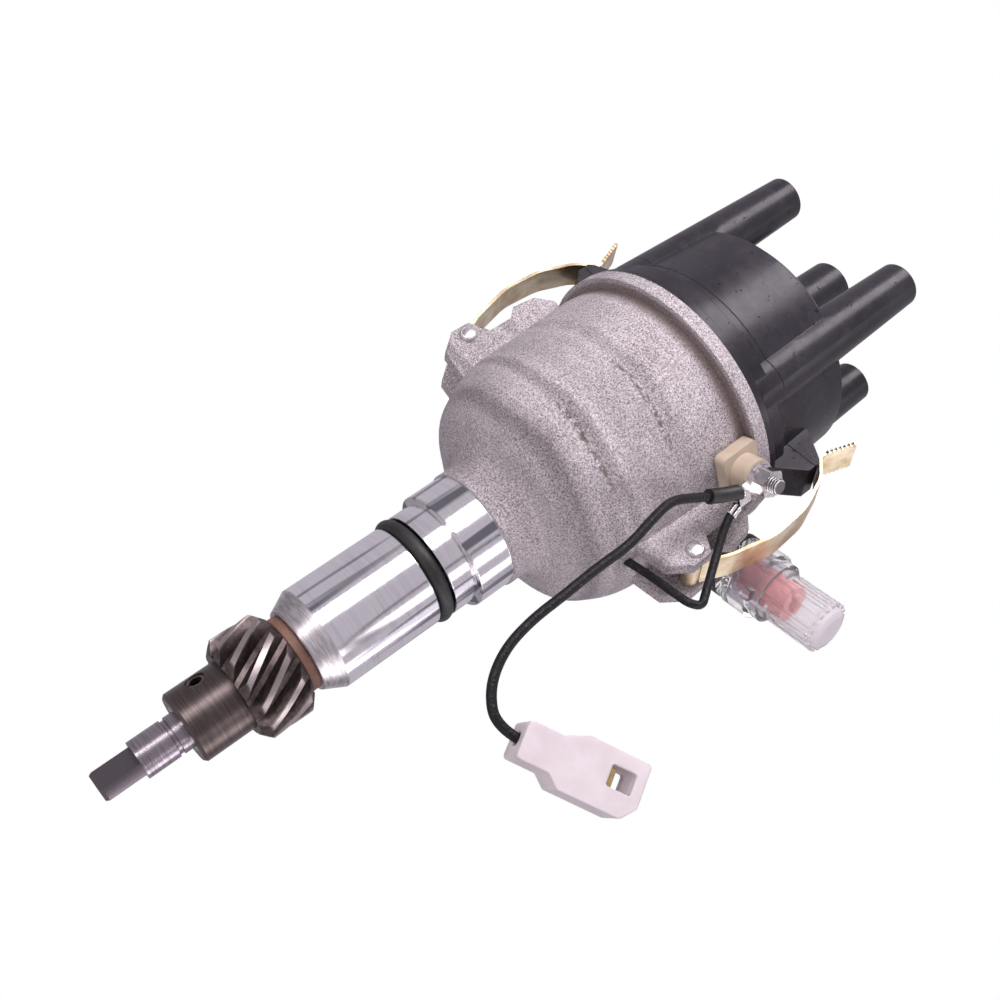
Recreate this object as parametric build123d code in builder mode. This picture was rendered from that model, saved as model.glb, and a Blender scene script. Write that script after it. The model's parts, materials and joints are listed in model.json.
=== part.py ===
from build123d import *
import math
import os

os.makedirs("parts", exist_ok=True)

# Ignition distributor, millimetres and degrees. The shaft axis is Z, and the cap is at the top.
# Z = 0 is the upper end of the machined land, where the cast neck of the body starts.
# Azimuths turn from +X towards +Y.

# Running clearance, seat clearance and assembly gap
fit_gap = 0.02
run_gap = 0.05
seat_gap = 0.3

# Body: machined shank, land and cast bell
shank_r = 14.0
shank_end_z = -55.0
shank_face_r = 11.2
shank_chamfer_z = -49.7
upper_shank_r = 14.5
groove_low_z = -21.8
groove_high_z = -17.1
oring_section = 4.2
land_r = 16.3
land_length = 10.3
neck_r = 16.8
neck_length = 8.4
shoulder_r = 29.8
shoulder_z = 11.6
belly_r = 35.8
belly_z = 23.0
bell_r = 37.5
bell_top_z = 58.5
lip_r = 40.1
lip_low_z = 64.4
rim_z = 68.4
bell_bore_r = 33.6
bowl_bore_r = 29.6
bowl_floor_z = 17.5
ledge_z = 44.8
shank_core_r = 7.4

# Shaft, bushes and drive gear
shaft_r = 6.25
bush_r = 8.6
lower_bush_length = 20.0
upper_bush_length = 24.0
washer_thickness = 2.7
washer_r = 10.2
gear_teeth = 13
gear_tip_r = 13.9
gear_root_r = 10.9
gear_face = 15.3
gear_helix = 30.0
gear_gap = 0.15
collar_r = 9.35
collar_length = 13.7
roll_pin_r = 2.5
roll_pin_azimuth = -150.0
tail_r = 4.95
tail_length = 12.0
tang_length = 10.3
tang_thickness = 3.4
spindle_r = 4.0
spindle_low_z = 23.0
spindle_high_z = 63.0

# Governor and cam
governor_r = 25.0
governor_z = 20.0
governor_thickness = 1.8
weight_thickness = 5.5
weight_pivot_r = 17.0
weight_inner_r = 11.5
weight_outer_r = 23.0
weight_span = 122.0
drive_pin_r = 1.5
drive_pin_azimuth = 112.0
cam_plate_thickness = 1.6
cam_sleeve_r = 7.0
cam_lobe_r = 10.4
cam_flat_r = 9.2
cam_low_z = 50.0
cam_high_z = 58.5
cam_nose_r = 6.3
cam_nose_z = 68.0
key_depth = 2.4

# Breaker plates and contacts
plate_thickness = 1.6
plate_clear = 0.4
plate_hole_r = 14.0
moving_plate_r = 28.5
arm_pivot = (-17.5, 16.0)
contact_x = 14.5
arm_y = 14.8
heel_gap = 0.35
contact_gap = 0.45
condenser_r = 6.5
condenser_length = 25.0
condenser_y = -18.8
plate_screw_r = 31.4

# Cap and towers
cap_flange_r = 39.6
cap_flange_thickness = 2.6
cap_skirt_r = 38.2
cap_skirt_z = 76.0
cap_wall_r = 36.6
cap_top_r = 35.2
cap_top_z = 105.7
cap_wall = 3.0
tower_count = 4
tower_azimuth = 20.0
tower_centre_r = 30.5
tower_base_r = 8.6
tower_tip_r = 6.4
tower_foot_z = 71.5
tower_tip_z = 136.0
centre_tower_r = 7.4
centre_tower_z = 141.0
socket_r = 3.9
socket_depth = 26.0
electrode_r = 2.2
head_thickness = 1.2
rotor_gap = 0.8
rotor_strip_thickness = 1.2
rotor_top_z = 76.0
brush_bore_r = 2.7
cap_bore_low_r = 31.4
cap_bore_high_r = 30.4

# Spring clips and their lugs
clip_azimuths = (-30.0, 160.0)
clip_width = 9.0
clip_thickness = 0.8
clip_pin_r = 1.6
clip_pivot = (45.0, 34.5)
lug_gap = 0.4
lug_thickness = 3.4

# Primary terminal
terminal_azimuth = -50.0
terminal_z = 58.0
bolt_r = 2.1
nut_across = 7.0
nut_height = 3.4
ring_thickness = 0.8
window = (9.0, 8.0)

# Side adjuster with clear cover
adjuster_azimuth = -40.0
adjuster_offset = 27.3
adjuster_z = 56.0
boss_end = 39.5
boss_r = 9.0
gasket_thickness = 2.0
collar_cover_r = 9.8
cover_r = 7.4
cover_end = 73.0
cover_ribs = 18
spindle_bore_r = 2.2

# Vacuum unit at the back
vacuum_azimuth = 115.0
vacuum_offset = -10.0
vacuum_z = 48.5
vacuum_r = 24.5
pad_face = 38.5
pad_size = (28.0, 18.0)
link_slot = (8.0, 4.0)
bracket_screw_span = 20.0
bracket_screw_r = 1.6
screw_head_r = 3.0
screw_head_height = 2.2
screw_length = 7.0
link_z = 50.0
link_thickness = 1.2
link_post = (15.5, -16.0)

# Lead and connector
lead_r = 1.2
lead_route = [
    (28.9, -35.12, 49.85),
    (27.0, -34.8, 45.5),
    (23.6, -37.4, 38.0),
    (20.5, -40.6, 30.6),
    (21.3, -42.8, 22.0),
    (22.9, -43.6, 13.0),
    (22.6, -43.9, 3.2),
    (23.1, -43.7, -7.0),
    (23.2, -44.0, -17.5),
    (25.0, -43.9, -26.8),
    (29.8, -44.1, -34.4),
    (37.4, -44.0, -37.9),
    (44.62, -44.1, -33.73),
]
short_lead_r = 1.1
short_route = [
    (32.05, -33.1, 49.6),
    (33.0, -32.4, 46.4),
    (35.6, -31.9, 42.0),
    (38.6, -32.0, 37.6),
    (42.6, -32.8, 31.0),
    (46.1, -34.0, 24.9),
    (43.6, -33.6, 22.6),
    (38.6, -29.8, 22.2),
    (33.0, -24.4, 22.4),
    (27.6, -19.4, 22.0),
]
connector_rear = (41.7, -44.05, -35.4)
connector_tilt = 30.0
connector_length = 29.5
connector_height = 13.5
connector_depth = 9.0
connector_rear_length = 11.0
connector_rear_height = 8.6
connector_wall = 1.5

# Heights and radii worked out from the sizes above
oring_z = (groove_low_z + groove_high_z) / 2
groove_r = shank_r + 1.0 - oring_section
gear_top_z = shank_end_z - washer_thickness - gear_gap
gear_low_z = gear_top_z - gear_face
collar_low_z = gear_low_z - collar_length
tail_low_z = collar_low_z - tail_length
tang_low_z = tail_low_z - tang_length
roll_pin_z = gear_low_z - collar_length * 0.43
upper_bush_top_z = bowl_floor_z + 0.5
weight_z = governor_z + governor_thickness + seat_gap
cam_plate_z = weight_z + weight_thickness + seat_gap
base_plate_top = ledge_z + plate_thickness
moving_plate_z = base_plate_top + plate_clear
moving_plate_top = moving_plate_z + plate_thickness
cap_ceiling_z = cap_top_z - cap_wall
rotor_reach = tower_centre_r - electrode_r - rotor_gap
electrode_low_z = rotor_top_z + 0.5
socket_floor_z = tower_tip_z - socket_depth
centre_socket_floor_z = centre_tower_z - socket_depth
electrode_head_r = socket_r - 0.4
boss_low_z = rotor_top_z + 9.0
brush_bore_top_z = cap_ceiling_z - 1.7
spigot_low_z = rim_z - 2.2
spigot_r = bell_bore_r - seat_gap
condenser_z = moving_plate_top + 0.9 + condenser_r
insulator_end = bell_r + 8.0
washer_start = insulator_end + ring_thickness
nut_start = washer_start + ring_thickness
bend_share = 0.45


def polar(radius, azimuth):
    """X and Y of a point at this distance and azimuth from the shaft axis."""
    return radius * math.cos(math.radians(azimuth)), radius * math.sin(math.radians(azimuth))


def upright_plane(azimuth, tangential=0.0):
    """Plane whose x runs outwards at the azimuth and whose y is up, shifted along its tangent."""
    x, y = polar(1.0, azimuth)
    return Plane(origin=(-y * tangential, x * tangential, 0), x_dir=(x, y, 0), z_dir=(y, -x, 0))


def outward_plane(azimuth, distance, height, offset=0.0):
    """Plane facing outwards at the azimuth, its x along the tangent and its y up."""
    x, y = polar(1.0, azimuth)
    centre = (x * distance - y * offset, y * distance + x * offset, height)
    return Plane(origin=centre, x_dir=(-y, x, 0), z_dir=(x, y, 0))


def spoke_plane(azimuth, height, offset=0.0):
    """Upright plane through a level axis that points outwards, its origin on that axis."""
    x, y = polar(1.0, azimuth)
    return Plane(origin=(-y * offset, x * offset, height), x_dir=(x, y, 0), z_dir=(y, -x, 0))


def turned_plane(azimuth, height):
    """Level plane at this height, its x turned to the azimuth."""
    x, y = polar(1.0, azimuth)
    return Plane(origin=(0, 0, height), x_dir=(x, y, 0), z_dir=(0, 0, 1))


def bend_radii(points):
    """Bend radius at each inner corner of a wire, as large as the shorter run beside it allows."""
    radii = []
    for before, corner, after in zip(points, points[1:], points[2:]):
        run_in = Vector(*corner) - Vector(*before)
        run_out = Vector(*after) - Vector(*corner)
        half_turn = math.radians(run_in.get_angle(run_out)) / 2
        radii.append(bend_share * min(run_in.length, run_out.length) / math.tan(half_turn))
    return radii


# Body: one turned casting with the lugs, bosses and bores added
ear_profile = [
    (belly_r - 4, 24.0),
    (clip_pivot[0] - 1.0, 25.5),
    (clip_pivot[0] + 3.4, clip_pivot[1] - 3.2),
    (clip_pivot[0] + 3.2, clip_pivot[1] + 2.6),
    (42.6, 40.5),
    (42.6, 48.0),
    (45.2, 51.0),
    (44.2, 58.0),
    (40.0, 62.0),
    (bell_r - 4, 62.0),
]
ear_offset = clip_width / 2 + lug_gap
with BuildPart() as housing:
    with BuildSketch(Plane.XZ):
        with BuildLine():
            bell_line = FilletPolyline(
                (neck_r, 0),
                (neck_r, neck_length),
                (shoulder_r, shoulder_z),
                (belly_r, belly_z),
                (bell_r, bell_top_z),
                (bell_r - 0.6, lip_low_z),
                radius=[4.5, 9.0, 25.0, 3.0],
            )
            Polyline(
                bell_line @ 1,
                (lip_r, lip_low_z),
                (lip_r, rim_z),
                (bell_bore_r, rim_z),
                (bell_bore_r, ledge_z),
                (bowl_bore_r, ledge_z),
                (bowl_bore_r, bowl_floor_z + 4),
                (bowl_bore_r - 4, bowl_floor_z),
                (bush_r, bowl_floor_z),
                (bush_r, bowl_floor_z - upper_bush_length),
                (shank_core_r, bowl_floor_z - upper_bush_length),
                (shank_core_r, shank_end_z + lower_bush_length),
                (bush_r, shank_end_z + lower_bush_length),
                (bush_r, shank_end_z),
                (shank_face_r, shank_end_z),
                (shank_r, shank_chamfer_z),
                (shank_r, groove_low_z),
                (groove_r, groove_low_z),
                (groove_r, groove_high_z),
                (upper_shank_r, groove_high_z),
                (upper_shank_r, -land_length),
                (land_r, -land_length),
                (land_r, 0),
                bell_line @ 0,
            )
        make_face()
    revolve(axis=Axis.Z)
    # Two pairs of clip lugs, each with its rib up to the rim
    for azimuth in clip_azimuths:
        for side in (-1, 1):
            middle = side * (ear_offset + lug_thickness / 2)
            with BuildSketch(upright_plane(azimuth, middle)):
                with BuildLine():
                    Polyline(*ear_profile, close=True)
                make_face()
            extrude(amount=lug_thickness / 2, both=True)
    # Adjuster boss and vacuum pad grow out of the bell wall
    with BuildSketch(outward_plane(adjuster_azimuth, boss_end, adjuster_z, adjuster_offset)):
        Circle(boss_r)
    extrude(amount=-(boss_end - 5))
    with BuildSketch(outward_plane(vacuum_azimuth, pad_face, vacuum_z, vacuum_offset)):
        RectangleRounded(*pad_size, 3)
    extrude(amount=-(pad_face - 27))
    # The inside is cleared again where the bosses reached in
    with BuildSketch(Plane.XY.offset(ledge_z)):
        Circle(bell_bore_r)
    extrude(amount=rim_z - ledge_z, mode=Mode.SUBTRACT)
    with BuildSketch(Plane.XY.offset(bowl_floor_z + 4)):
        Circle(bowl_bore_r)
    extrude(amount=ledge_z - bowl_floor_z - 4, mode=Mode.SUBTRACT)
    # Clip pin bores
    for azimuth in clip_azimuths:
        with BuildSketch(upright_plane(azimuth)):
            with Locations(clip_pivot):
                Circle(clip_pin_r + fit_gap)
        extrude(amount=ear_offset + lug_thickness, both=True, mode=Mode.SUBTRACT)
    # Adjuster spindle bore, vacuum link slot and its screw holes
    with BuildSketch(outward_plane(adjuster_azimuth, boss_end, adjuster_z, adjuster_offset)):
        Circle(spindle_bore_r)
    extrude(amount=-30, mode=Mode.SUBTRACT)
    with BuildSketch(outward_plane(vacuum_azimuth, pad_face, link_z + link_thickness / 2, vacuum_offset)):
        RectangleRounded(*link_slot, 1)
    extrude(amount=-14, mode=Mode.SUBTRACT)
    with BuildSketch(outward_plane(vacuum_azimuth, pad_face, vacuum_z, vacuum_offset)):
        with GridLocations(bracket_screw_span, 0, 2, 1):
            Circle(bracket_screw_r)
    extrude(amount=-6, mode=Mode.SUBTRACT)
    # Terminal window and the hole of the short lead
    with BuildSketch(outward_plane(terminal_azimuth, lip_r, terminal_z)):
        RectangleRounded(*window, 2)
    extrude(amount=-12, mode=Mode.SUBTRACT)
    # Hole of the short lead, under the front clip
    lead_way = Vector(*short_route[-2]) - Vector(*short_route[-1])
    with BuildSketch(Plane(origin=short_route[-1], z_dir=lead_way)):
        Circle(short_lead_r + run_gap)
    extrude(amount=lead_way.length, mode=Mode.SUBTRACT)
    # Base plate screw holes
    with BuildSketch(Plane.XY.offset(ledge_z)):
        with PolarLocations(plate_screw_r, 2, start_angle=60):
            Circle(1.3)
    extrude(amount=-6, mode=Mode.SUBTRACT)
housing.part.label = "housing"
export_step(housing.part, "parts/housing.step")

# Sealing ring in the shank groove
with BuildPart() as oring:
    with BuildSketch(Plane.XZ):
        with Locations((shank_r + 1.0 - oring_section / 2, oring_z)):
            Circle(oring_section / 2 - fit_gap)
    revolve(axis=Axis.Z)
oring.part.label = "oring"
export_step(oring.part, "parts/oring.step")

# Shaft bushes, pressed into both ends of the shank
bush_seats = [
    (shank_end_z, lower_bush_length),
    (bowl_floor_z - upper_bush_length, upper_bush_length + 0.5),
]
with BuildPart() as shaft_bushes:
    for low, length in bush_seats:
        with BuildSketch(Plane.XY.offset(low)):
            Circle(bush_r - fit_gap)
            Circle(shaft_r + run_gap, mode=Mode.SUBTRACT)
        extrude(amount=length)
    bore_edges = shaft_bushes.edges().filter_by(GeomType.CIRCLE).sort_by(SortBy.RADIUS)[0:4]
    chamfer(bore_edges, 0.5)
shaft_bushes.part.label = "shaft_bushes"
export_step(shaft_bushes.part, "parts/shaft_bushes.step")

# Shaft with its flatted end, cross hole and upper spindle
with BuildPart() as shaft:
    with BuildSketch(Plane.XZ):
        with BuildLine():
            Polyline(
                (0, tang_low_z),
                (tail_r - 0.8, tang_low_z),
                (tail_r, tang_low_z + 0.8),
                (tail_r, tail_low_z + 8.4),
                (tail_r - 0.5, tail_low_z + 8.6),
                (tail_r - 0.5, tail_low_z + 9.4),
                (tail_r, tail_low_z + 9.6),
                (tail_r, collar_low_z),
                (shaft_r, collar_low_z),
                (shaft_r, spindle_low_z),
                (spindle_r, spindle_low_z),
                (spindle_r, spindle_high_z - 0.7),
                (0, spindle_high_z - 0.7),
                close=True,
            )
        make_face()
    revolve(axis=Axis.Z)
    with BuildSketch(turned_plane(roll_pin_azimuth, tang_low_z)):
        with Locations((tang_thickness / 2 + 2, 0), (-tang_thickness / 2 - 2, 0)):
            Rectangle(4, 12)
    extrude(amount=tang_length, mode=Mode.SUBTRACT)
    with BuildSketch(outward_plane(roll_pin_azimuth, 0, roll_pin_z)):
        Circle(roll_pin_r)
    extrude(amount=collar_r, both=True, mode=Mode.SUBTRACT)
    with BuildSketch(Plane.XY.offset(spindle_high_z)):
        Circle(1.8)
    extrude(amount=-9, mode=Mode.SUBTRACT)
shaft.part.label = "shaft"
export_step(shaft.part, "parts/shaft.step")

# Helical drive gear: one tooth outline twisted along the face, trimmed by a chamfered blank
tooth_turn = 360 / gear_teeth
flank_angles = [(gear_root_r, 10.0), ((gear_root_r + gear_tip_r) / 2, 6.6), (gear_tip_r + 0.3, 3.0)]
gear_outline = []
for tooth in range(gear_teeth):
    centre = tooth * tooth_turn
    gear_outline += [polar(radius, centre - half) for radius, half in flank_angles]
    gear_outline += [polar(radius, centre + half) for radius, half in reversed(flank_angles)]
pitch_r = (gear_root_r + gear_tip_r) / 2
gear_twist = -math.degrees(gear_face * math.tan(math.radians(gear_helix)) / pitch_r)
with BuildSketch(Plane.XY.offset(gear_low_z)) as gear_section:
    with BuildLine():
        Polyline(*gear_outline, close=True)
    make_face()
with BuildPart() as drive_gear:
    add(
        Solid.extrude_linear_with_rotation(
            section=gear_section.sketch.face(),
            center=(0, 0, gear_low_z),
            normal=(0, 0, gear_face),
            angle=gear_twist,
        )
    )
    with BuildSketch(Plane.XZ):
        with BuildLine():
            Polyline(
                (0, gear_low_z),
                (gear_root_r + 0.4, gear_low_z),
                (gear_tip_r, gear_low_z + 2.2),
                (gear_tip_r, gear_top_z - 2.2),
                (gear_root_r + 0.4, gear_top_z),
                (0, gear_top_z),
                close=True,
            )
        make_face()
    revolve(axis=Axis.Z, mode=Mode.INTERSECT)
    with BuildSketch(Plane.XY.offset(collar_low_z)):
        Circle(collar_r)
    extrude(amount=collar_length + 1)
    collar_edge = drive_gear.faces().sort_by(Axis.Z)[0].edges()
    chamfer(collar_edge, 0.7)
    with BuildSketch(Plane.XY.offset(collar_low_z)):
        Circle(shaft_r + fit_gap)
    extrude(amount=collar_length + gear_face, mode=Mode.SUBTRACT)
    with BuildSketch(outward_plane(roll_pin_azimuth, 0, roll_pin_z)):
        Circle(roll_pin_r)
    extrude(amount=collar_r + 1, both=True, mode=Mode.SUBTRACT)
drive_gear.part.label = "drive_gear"
export_step(drive_gear.part, "parts/drive_gear.step")

# Slotted spring pin through the gear collar and the shaft
with BuildPart() as roll_pin:
    with BuildSketch(outward_plane(roll_pin_azimuth, 0, roll_pin_z)):
        Circle(roll_pin_r - fit_gap)
        Circle(roll_pin_r - 0.9, mode=Mode.SUBTRACT)
        with Locations((0, -roll_pin_r + 0.5)):
            Rectangle(0.7, 1.6, mode=Mode.SUBTRACT)
    extrude(amount=collar_r - 0.6, both=True)
roll_pin.part.label = "roll_pin"
export_step(roll_pin.part, "parts/roll_pin.step")

# Fibre thrust washers under the shank and under the governor
washer_seats = {
    "lower_thrust_washer": (shank_end_z - washer_thickness, washer_thickness, washer_r),
    "upper_thrust_washer": (governor_z - 1.4, 1.4, bush_r - 0.2),
}
for name, (low, thickness, radius) in washer_seats.items():
    with BuildPart() as washer:
        with BuildSketch(Plane.XY.offset(low)):
            Circle(radius)
            Circle(shaft_r + seat_gap, mode=Mode.SUBTRACT)
        extrude(amount=thickness)
        outer_edges = washer.edges().filter_by(GeomType.CIRCLE).sort_by(SortBy.RADIUS)[2:4]
        chamfer(outer_edges, 0.3)
    washer.part.label = name
    export_step(washer.part, f"parts/{name}.step")

# Governor plate with the two weight pivots
with BuildPart() as governor_plate:
    with BuildSketch(Plane.XY.offset(governor_z)):
        Circle(governor_r)
        with PolarLocations(20, 2, start_angle=90):
            SlotOverall(12, 5, rotation=90, mode=Mode.SUBTRACT)
    extrude(amount=governor_thickness)
    with BuildSketch(Plane.XY.offset(governor_z)):
        Circle(shaft_r + 2.6)
    extrude(amount=spindle_low_z - governor_z)
    with BuildSketch(Plane.XY.offset(governor_z)):
        with PolarLocations(weight_pivot_r, 2):
            Circle(2.0)
    extrude(amount=cam_plate_z - governor_z + 0.3)
    with BuildSketch(Plane.XY.offset(governor_z)):
        with PolarLocations(weight_pivot_r, 2):
            Circle(1.2)
    extrude(amount=13)
    with BuildSketch(Plane.XY.offset(governor_z)):
        Circle(shaft_r + fit_gap)
    extrude(amount=5, mode=Mode.SUBTRACT)
governor_plate.part.label = "governor_plate"
export_step(governor_plate.part, "parts/governor_plate.step")

# Two governor weights, each a curved bar on a pivot with a drive pin on top
for number, turn in ((1, 0.0), (2, 180.0)):
    with BuildPart() as weight:
        with BuildSketch(turned_plane(turn, weight_z)) as weight_face:
            with BuildLine():
                outer = CenterArc((0, 0), weight_outer_r, -8, weight_span + 8)
                inner = CenterArc((0, 0), weight_inner_r, -8, weight_span + 8)
                Line(outer @ 0, inner @ 0)
                Line(outer @ 1, inner @ 1)
            make_face()
            fillet(weight_face.vertices(), 2.0)
            with Locations((weight_pivot_r, 0)):
                Circle(2.0 + run_gap, mode=Mode.SUBTRACT)
        extrude(amount=weight_thickness)
        with BuildSketch(turned_plane(turn, weight_z)):
            with Locations(polar(weight_pivot_r + 0.5, drive_pin_azimuth)):
                Circle(drive_pin_r)
        extrude(amount=weight_thickness + seat_gap + cam_plate_thickness)
    weight.part.label = f"governor_weight_{number}"
    export_step(weight.part, f"parts/governor_weight_{number}.step")

# Governor springs, hooked from each pivot to the cam plate
spring_post_r = 11.5
spring_z = cam_plate_z + cam_plate_thickness + 1.9
spring_wire_r = 0.35
spring_ring_r = 1.2 + 0.2 + spring_wire_r
spring_coil_r = 1.4
spring_coils = 8
spring_pitch = 0.7
coil_in_r = spring_coil_r - spring_wire_r
coil_valley_r = spring_coil_r
coil_out_r = spring_coil_r + spring_wire_r
far_x, far_y = polar(spring_post_r, drive_pin_azimuth - 180)
spring_reach = math.hypot(far_x - weight_pivot_r, far_y)
coil_start = spring_reach / 2 - 2.8
with BuildPart() as governor_springs:
    for turn in (0.0, 180.0):
        heading = math.degrees(math.atan2(far_y, far_x - weight_pivot_r)) + turn
        start_x, start_y = polar(weight_pivot_r, turn)
        spring_plane = Plane(
            origin=(start_x, start_y, spring_z),
            x_dir=(*polar(1.0, heading), 0),
            z_dir=(*polar(1.0, heading - 90), 0),
        )
        for end in (0, 1):
            ring_x = end * spring_reach
            with BuildSketch(spring_plane):
                with Locations((ring_x + spring_ring_r, 0)):
                    Circle(spring_wire_r)
            revolve(axis=Axis(spring_plane.from_local_coords((ring_x, 0, 0)), (0, 0, 1)))
            side = 1 - 2 * end
            with BuildLine(spring_plane) as hook:
                Polyline(
                    (ring_x + side * spring_ring_r, 0),
                    (ring_x + side * (coil_start - 1.2), 0),
                    (ring_x + side * (coil_start + 0.3), spring_coil_r),
                )
            with BuildSketch(Plane(origin=hook.line @ 0, z_dir=(*polar(side, heading), 0))):
                Circle(spring_wire_r)
            sweep(path=hook.line, transition=Transition.RIGHT)
        coil_outline = [(coil_start, coil_in_r)]
        for coil in range(spring_coils):
            coil_x = coil_start + coil * spring_pitch
            coil_outline += [(coil_x, coil_valley_r), (coil_x + spring_pitch / 2, coil_out_r)]
        coil_end = coil_start + spring_coils * spring_pitch
        coil_outline += [(coil_end, coil_valley_r), (coil_end, coil_in_r)]
        with BuildSketch(spring_plane):
            with BuildLine():
                Polyline(*coil_outline, close=True)
            make_face()
        revolve(axis=Axis(spring_plane.origin, spring_plane.x_dir))
governor_springs.part.label = "governor_springs"
export_step(governor_springs.part, "parts/governor_springs.step")

# Cam: slotted drive plate, sleeve, four lobes and the rotor seat in one piece
with BuildPart() as cam:
    with BuildSketch(turned_plane(drive_pin_azimuth, cam_plate_z)):
        SlotOverall(48, 10)
        with Locations((18.7, 0), (-18.7, 0)):
            SlotOverall(7.0, 2 * drive_pin_r + 0.8, mode=Mode.SUBTRACT)
    extrude(amount=cam_plate_thickness)
    with BuildSketch(turned_plane(drive_pin_azimuth, cam_plate_z)):
        with Locations((spring_post_r, 0), (-spring_post_r, 0)):
            Circle(1.2)
    extrude(amount=cam_plate_thickness + 3.6)
    with BuildSketch(Plane.XY.offset(cam_plate_z)):
        Circle(cam_sleeve_r)
    extrude(amount=cam_high_z - cam_plate_z)
    with BuildSketch(Plane.XY.offset(cam_low_z)) as lobes:
        Rectangle(2 * cam_flat_r, 2 * cam_flat_r, rotation=45)
        Circle(cam_lobe_r, mode=Mode.INTERSECT)
        fillet(lobes.vertices(), 1.5)
    extrude(amount=cam_high_z - cam_low_z)
    with BuildSketch(Plane.XY.offset(cam_high_z)):
        Circle(cam_nose_r)
        with Locations((0, cam_nose_r)):
            Rectangle(2 * cam_nose_r, key_depth, mode=Mode.SUBTRACT)
    extrude(amount=cam_nose_z - cam_high_z)
    with BuildSketch(Plane.XY.offset(cam_plate_z)):
        Circle(spindle_r + run_gap)
    extrude(amount=cam_nose_z - cam_plate_z, mode=Mode.SUBTRACT)
    with BuildSketch(Plane.XY.offset(spindle_high_z - 1.0)):
        Circle(spindle_r + 0.7)
    extrude(amount=8, mode=Mode.SUBTRACT)
cam.part.label = "cam"
export_step(cam.part, "parts/cam.step")

# Screw that keeps the cam on the spindle, with the oil felt above it
with BuildPart() as cam_screw:
    with BuildSketch(Plane.XY.offset(spindle_high_z - 0.7)):
        Circle(spindle_r + 0.25)
    extrude(amount=2.0)
    with BuildSketch(Plane.XY.offset(spindle_high_z - 0.7)):
        Circle(1.8 - fit_gap)
    extrude(amount=-7)
    with BuildSketch(Plane.XY.offset(spindle_high_z + 1.3)):
        Rectangle(10, 0.8)
    extrude(amount=-0.8, mode=Mode.SUBTRACT)
cam_screw.part.label = "cam_screw"
export_step(cam_screw.part, "parts/cam_screw.step")

with BuildPart() as oil_felt:
    with BuildSketch(Plane.XY.offset(spindle_high_z + 1.6)):
        Circle(spindle_r + 0.68)
    extrude(amount=3.0)
oil_felt.part.label = "oil_felt"
export_step(oil_felt.part, "parts/oil_felt.step")

# Rotor arm: bakelite carrier and brass strip
rotor_low_z = cam_high_z + 1.5
with BuildPart() as rotor_arm:
    with BuildSketch(Plane.XY.offset(rotor_low_z)):
        Circle(cam_nose_r + 2.6)
    extrude(amount=rotor_top_z - 4 - rotor_low_z)
    with BuildSketch(turned_plane(tower_azimuth, rotor_top_z - 6)) as carrier:
        with BuildLine():
            Polyline(
                (-9.5, -5.5),
                (4, -7.5),
                (rotor_reach - 1.8, -4.5),
                (rotor_reach - 1.8, 4.5),
                (4, 7.5),
                (-9.5, 5.5),
                close=True,
            )
        make_face()
        fillet(carrier.vertices(), 1.5)
    extrude(amount=6)
    with BuildSketch(Plane.XY.offset(rotor_low_z)):
        Circle(cam_nose_r + fit_gap)
        with Locations((0, cam_nose_r)):
            Rectangle(2 * cam_nose_r, key_depth - 2 * fit_gap, mode=Mode.SUBTRACT)
    extrude(amount=cam_nose_z + 0.2 - rotor_low_z, mode=Mode.SUBTRACT)
    outer_rim = rotor_arm.faces().filter_by(Axis.Z).sort_by(Axis.Z)[-1].edges()
    chamfer(outer_rim, 0.5)
rotor_arm.part.label = "rotor_arm"
export_step(rotor_arm.part, "parts/rotor_arm.step")

with BuildPart() as rotor_strip:
    with BuildSketch(turned_plane(tower_azimuth, rotor_top_z)):
        with Locations((rotor_reach / 2 - 2.5, 0)):
            Rectangle(rotor_reach + 2.0, 5)
        Circle(rotor_reach, mode=Mode.INTERSECT)
    extrude(amount=rotor_strip_thickness)
    with BuildSketch(turned_plane(tower_azimuth, rotor_top_z - 2.5)):
        with Locations((rotor_reach - 1.0, 0)):
            Rectangle(1.5, 8)
        Circle(rotor_reach, mode=Mode.INTERSECT)
    extrude(amount=5.5)
rotor_strip.part.label = "rotor_strip"
export_step(rotor_strip.part, "parts/rotor_strip.step")

# Fixed base plate on the ledge of the bell, with the collar the breaker plate turns on
collar_out_r = plate_hole_r - run_gap
with BuildPart() as base_plate:
    with BuildSketch(Plane.XY.offset(ledge_z)):
        Circle(bell_bore_r - run_gap)
        Circle(collar_out_r - 1.6, mode=Mode.SUBTRACT)
        with PolarLocations(plate_screw_r, 2, start_angle=60):
            Circle(1.3, mode=Mode.SUBTRACT)
        with PolarLocations(21, 3, start_angle=100):
            SlotOverall(9, 4.5, rotation=90, mode=Mode.SUBTRACT)
    extrude(amount=plate_thickness)
    with BuildSketch(Plane.XY.offset(ledge_z)):
        Circle(collar_out_r)
        Circle(collar_out_r - 1.6, mode=Mode.SUBTRACT)
    extrude(amount=5.0)
base_plate.part.label = "base_plate"
export_step(base_plate.part, "parts/base_plate.step")

with BuildPart() as base_plate_screws:
    with BuildSketch(Plane.XY.offset(base_plate_top)):
        with PolarLocations(plate_screw_r, 2, start_angle=60):
            Circle(2.0)
    extrude(amount=1.4)
    with BuildSketch(Plane.XY.offset(base_plate_top + 1.4)):
        with PolarLocations(plate_screw_r, 2, start_angle=60):
            Rectangle(4.4, 0.6)
    extrude(amount=-0.6, mode=Mode.SUBTRACT)
    with BuildSketch(Plane.XY.offset(base_plate_top)):
        with PolarLocations(plate_screw_r, 2, start_angle=60):
            Circle(1.3 - fit_gap)
    extrude(amount=-6)
base_plate_screws.part.label = "base_plate_screws"
export_step(base_plate_screws.part, "parts/base_plate_screws.step")

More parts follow.
